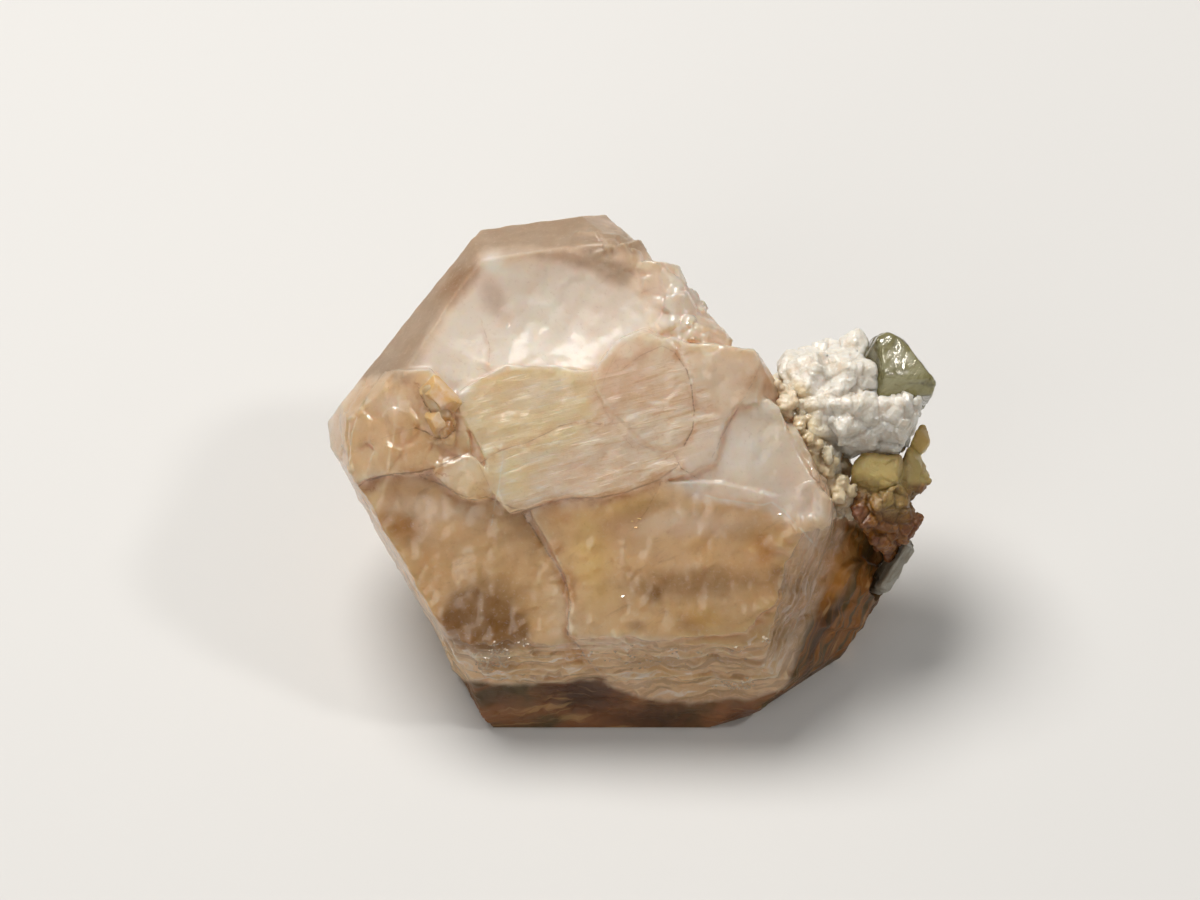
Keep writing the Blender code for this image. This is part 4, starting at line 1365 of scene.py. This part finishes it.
class SPECIMEN_OT_small_prisms(bpy.types.Operator):
    """Lays the two small six-sided prisms in their rusty nest on the left of the broad face"""

    bl_idname = "specimen.small_prisms"
    bl_label = "Small prisms"

    def execute(self, context):
        settings = context.scene.prism_settings
        shaped = []
        for middle, width, length, aim in SMALL_PRISMS:
            bpy.ops.object.select_all(action="DESELECT")
            bpy.ops.mesh.primitive_cylinder_add(vertices=6, radius=width / 2, depth=length)
            prism = bpy.context.view_layer.objects.active
            bpy.ops.object.mode_set(mode="EDIT")
            for end, slope in ((1, 0.9), (1, -0.7), (-1, 0.8), (-1, -0.9)):
                bpy.ops.mesh.select_all(action="SELECT")
                bpy.ops.mesh.bisect(
                    plane_co=(0, 0, end * length * 0.40), plane_no=(slope, slope * 0.4, end),
                    use_fill=True, clear_outer=True,
                )
            bpy.ops.object.mode_set(mode="OBJECT")
            direction = Vector(aim).to_track_quat("Z", "X").to_matrix().to_4x4()
            prism.data.transform(Matrix.Translation(middle) @ direction)
            shaped.append(prism)
        only(shaped[0])
        for prism in shaped:
            prism.select_set(True)
        bpy.ops.object.join()
        prisms = bpy.context.view_layer.objects.active
        prisms.name = "small_prisms"
        refine(prisms, settings.grain, 3)
        points = points_of(prisms)
        relief = 0.02 * rubble(points, 0.5, 601)
        move_points(prisms, points + facing_of(prisms) * relief[:, None])
        thin_out(prisms, settings.triangles)
        # Painted shade on the sides turned to the left.
        stain(prisms, "painted_shade_marks", smooth(-0.2, -0.75, facing_of(prisms)[:, 0]))
        set_in_place(prisms, "root", "pink_apatite", prism_finish(context.scene.apatite_settings))
        return {"FINISHED"}


class SPECIMEN_OT_seam_grains(bpy.types.Operator):
    """Packs small clear grains between the apatite and what grows on it"""

    bl_idname = "specimen.seam_grains"
    bl_label = "Seam grains"

    def execute(self, context):
        settings = context.scene.seam_settings
        bpy.ops.object.select_all(action="DESELECT")
        bpy.ops.mesh.primitive_ico_sphere_add(subdivisions=2, radius=0.5)
        model = bpy.context.view_layer.objects.active
        random = np.random.default_rng(9)
        bpy.ops.object.mode_set(mode="EDIT")
        for _ in range(7):
            aim = random.normal(0, 1, 3)
            aim /= np.linalg.norm(aim)
            bpy.ops.mesh.select_all(action="SELECT")
            bpy.ops.mesh.bisect(
                plane_co=tuple(aim * 0.38), plane_no=tuple(aim), use_fill=True, clear_outer=True,
            )
        bpy.ops.object.mode_set(mode="OBJECT")
        route = np.array(SEAM)
        places = []
        for _ in range(settings.count):
            along = random.uniform(0, len(route) - 1.001)
            step = int(along)
            middle = route[step] + (route[step + 1] - route[step]) * (along - step)
            middle = middle + random.normal(0, 1, 3) * (0.26, 0.18, 0.34)
            size = settings.size * random.uniform(0.5, 1.4)
            shape = size * random.uniform(0.7, 1.3, 3)
            places.append(turned_to(middle, random.normal(0, 1, 3), shape, random.uniform(0, 6.28)))
        for middle, size in SEAM_LUMPS:
            shape = size * random.uniform(0.85, 1.15, 3)
            places.append(turned_to(middle, random.normal(0, 1, 3), shape, random.uniform(0, 6.28)))
        grains = scatter(model, "seam_grains", places)
        refine(grains, settings.grain, 1)
        points = points_of(grains)
        relief = lumps(points, SEAM_GRAIN, 0.2, 501, 0.012) + 0.02 * rubble(points, 0.4, 502)
        move_points(grains, points + facing_of(grains) * relief[:, None])
        thin_out(grains, settings.triangles)
        points = note_grains(grains, SEAM_GRAIN, 501)
        height = seen(points)[:, 1]
        stain(grains, "yellow", smooth(3.2, 0.5, height) * smooth(-4.5, -2.0, height))
        set_in_place(grains, "root", "white_feldspar", seam_finish(settings))
        return {"FINISHED"}


class SPECIMEN_OT_bright_chips(bpy.types.Operator):
    """Scatters small bright cleavage chips over the ledges and along the broken edges"""

    bl_idname = "specimen.bright_chips"
    bl_label = "Bright chips"

    def execute(self, context):
        settings = context.scene.chip_settings
        stone = bpy.data.objects["pink_apatite_crystal"]
        to_face_up = PLACE.inverted()
        bpy.ops.object.select_all(action="DESELECT")
        bpy.ops.mesh.primitive_cylinder_add(vertices=5, radius=0.5, depth=0.34)
        model = bpy.context.view_layer.objects.active
        bpy.ops.object.mode_set(mode="EDIT")
        bpy.ops.mesh.select_all(action="SELECT")
        bpy.ops.mesh.bisect(
            plane_co=(0.3, 0, 0.1), plane_no=(0.6, 0.1, 0.8), use_fill=True, clear_outer=True,
        )
        bpy.ops.object.mode_set(mode="OBJECT")
        points = points_of(stone)
        normals = facing_of(stone)
        turn = np.array(to_face_up.to_3x3()) * MM
        points = points @ np.array(to_face_up.to_3x3()).T + np.array(to_face_up.translation)
        normals = normals @ turn.T
        chance = clouds(seen(points), GLINTS) * smooth(0.0, 0.3, normals[:, 2])
        random = np.random.default_rng(5)
        chance = chance ** 2
        picked = random.choice(len(points), settings.count, replace=False, p=chance / chance.sum())
        places = []
        for index in picked:
            size = settings.size * random.uniform(0.5, 1.5)
            normal = normals[index] * 0.2 + TO_THE_WINDOW + random.normal(0, 0.13, 3)
            shape = (size * random.uniform(0.8, 1.8), size, size * 0.6)
            places.append(turned_to(points[index], normal, shape, random.uniform(0, 6.28)))
        chips = scatter(model, "bright_cleavage_chips", places)
        stain(chips, "golden", clouds(seen(points_of(chips)), GOLDEN_GLINTS))
        set_in_place(chips, "root", "pink_apatite", chip_finish(settings))
        bpy.ops.object.shade_flat()
        return {"FINISHED"}


class SPECIMEN_OT_stage(bpy.types.Operator):
    """Sets the pale table, the soft lights and the camera"""

    bl_idname = "specimen.stage"
    bl_label = "Stage"

    def execute(self, context):
        settings = context.scene.stage_settings
        bpy.ops.object.select_all(action="DESELECT")
        bpy.ops.mesh.primitive_plane_add(size=settings.width)
        table = bpy.context.view_layer.objects.active
        table.name = "table"
        table.data.materials.append(floor_finish(settings.floor))
        for light in LIGHTS:
            self.soft_light(*light)
        world = bpy.data.worlds.new("soft_sky")
        world.use_nodes = True
        background = world.node_tree.nodes["Background"]
        background.inputs["Color"].default_value = (*settings.sky, 1.0)
        background.inputs["Strength"].default_value = settings.brightness
        context.scene.world = world
        context.scene.view_settings.view_transform = "Standard"

        camera = bpy.data.cameras.new("eye")
        camera.lens = settings.lens
        camera.sensor_width = 36.0
        camera.clip_start = 0.005
        eye = bpy.data.objects.new("eye", camera)
        context.scene.collection.objects.link(eye)
        lean = math.pi / 2 - settings.elevation
        away = Vector((0, -math.sin(lean), math.cos(lean))) * settings.distance
        eye.location = FACE_MIDDLE + away
        eye.rotation_euler = (lean, 0, 0)
        context.scene.camera = eye
        return {"FINISHED"}

    def soft_light(self, name, place, width, watts, tint):
        light = bpy.data.lights.new(name, "AREA")
        light.shape = "DISK"
        light.size = width
        light.energy = watts
        light.color = tint
        lamp = bpy.data.objects.new(name, light)
        lamp.location = place
        lamp.rotation_euler = (FACE_MIDDLE - Vector(place)).to_track_quat("-Z", "Y").to_euler()
        bpy.context.scene.collection.objects.link(lamp)


class SPECIMEN_PT_panel(bpy.types.Panel):
    bl_label = "Apatite specimen"
    bl_space_type = "VIEW_3D"
    bl_region_type = "UI"
    bl_category = "Apatite"

    def draw(self, context):
        for operator in OPERATORS:
            self.layout.operator(operator.bl_idname)
        for settings in SETTINGS:
            group = getattr(context.scene, settings)
            for field in type(group).__annotations__:
                self.layout.prop(group, field)


SETTINGS = {
    "apatite_settings": ApatiteSettings,
    "feldspar_settings": FeldsparSettings,
    "green_settings": GreenSettings,
    "cluster_settings": ClusterSettings,
    "blade_settings": BladeSettings,
    "prism_settings": PrismSettings,
    "seam_settings": SeamSettings,
    "chip_settings": ChipSettings,
    "stage_settings": StageSettings,
}
OPERATORS = (
    SPECIMEN_OT_apatite,
    SPECIMEN_OT_feldspar,
    SPECIMEN_OT_green_crystal,
    SPECIMEN_OT_stained_cluster,
    SPECIMEN_OT_pale_blade,
    SPECIMEN_OT_small_prisms,
    SPECIMEN_OT_seam_grains,
    SPECIMEN_OT_bright_chips,
    SPECIMEN_OT_stage,
)


def register():
    for kind in (*SETTINGS.values(), *OPERATORS, SPECIMEN_PT_panel):
        bpy.utils.register_class(kind)
    for name, kind in SETTINGS.items():
        setattr(bpy.types.Scene, name, PointerProperty(type=kind))


def unregister():
    for name in SETTINGS:
        delattr(bpy.types.Scene, name)
    for kind in (SPECIMEN_PT_panel, *reversed(OPERATORS), *reversed(list(SETTINGS.values()))):
        bpy.utils.unregister_class(kind)


def main():
    register()
    bpy.ops.specimen.apatite()
    bpy.ops.specimen.feldspar()
    bpy.ops.specimen.green_crystal()
    bpy.ops.specimen.stained_cluster()
    bpy.ops.specimen.pale_blade()
    bpy.ops.specimen.small_prisms()
    bpy.ops.specimen.seam_grains()
    bpy.ops.specimen.bright_chips()
    bpy.ops.specimen.stage()


if __name__ == "__main__":
    main()
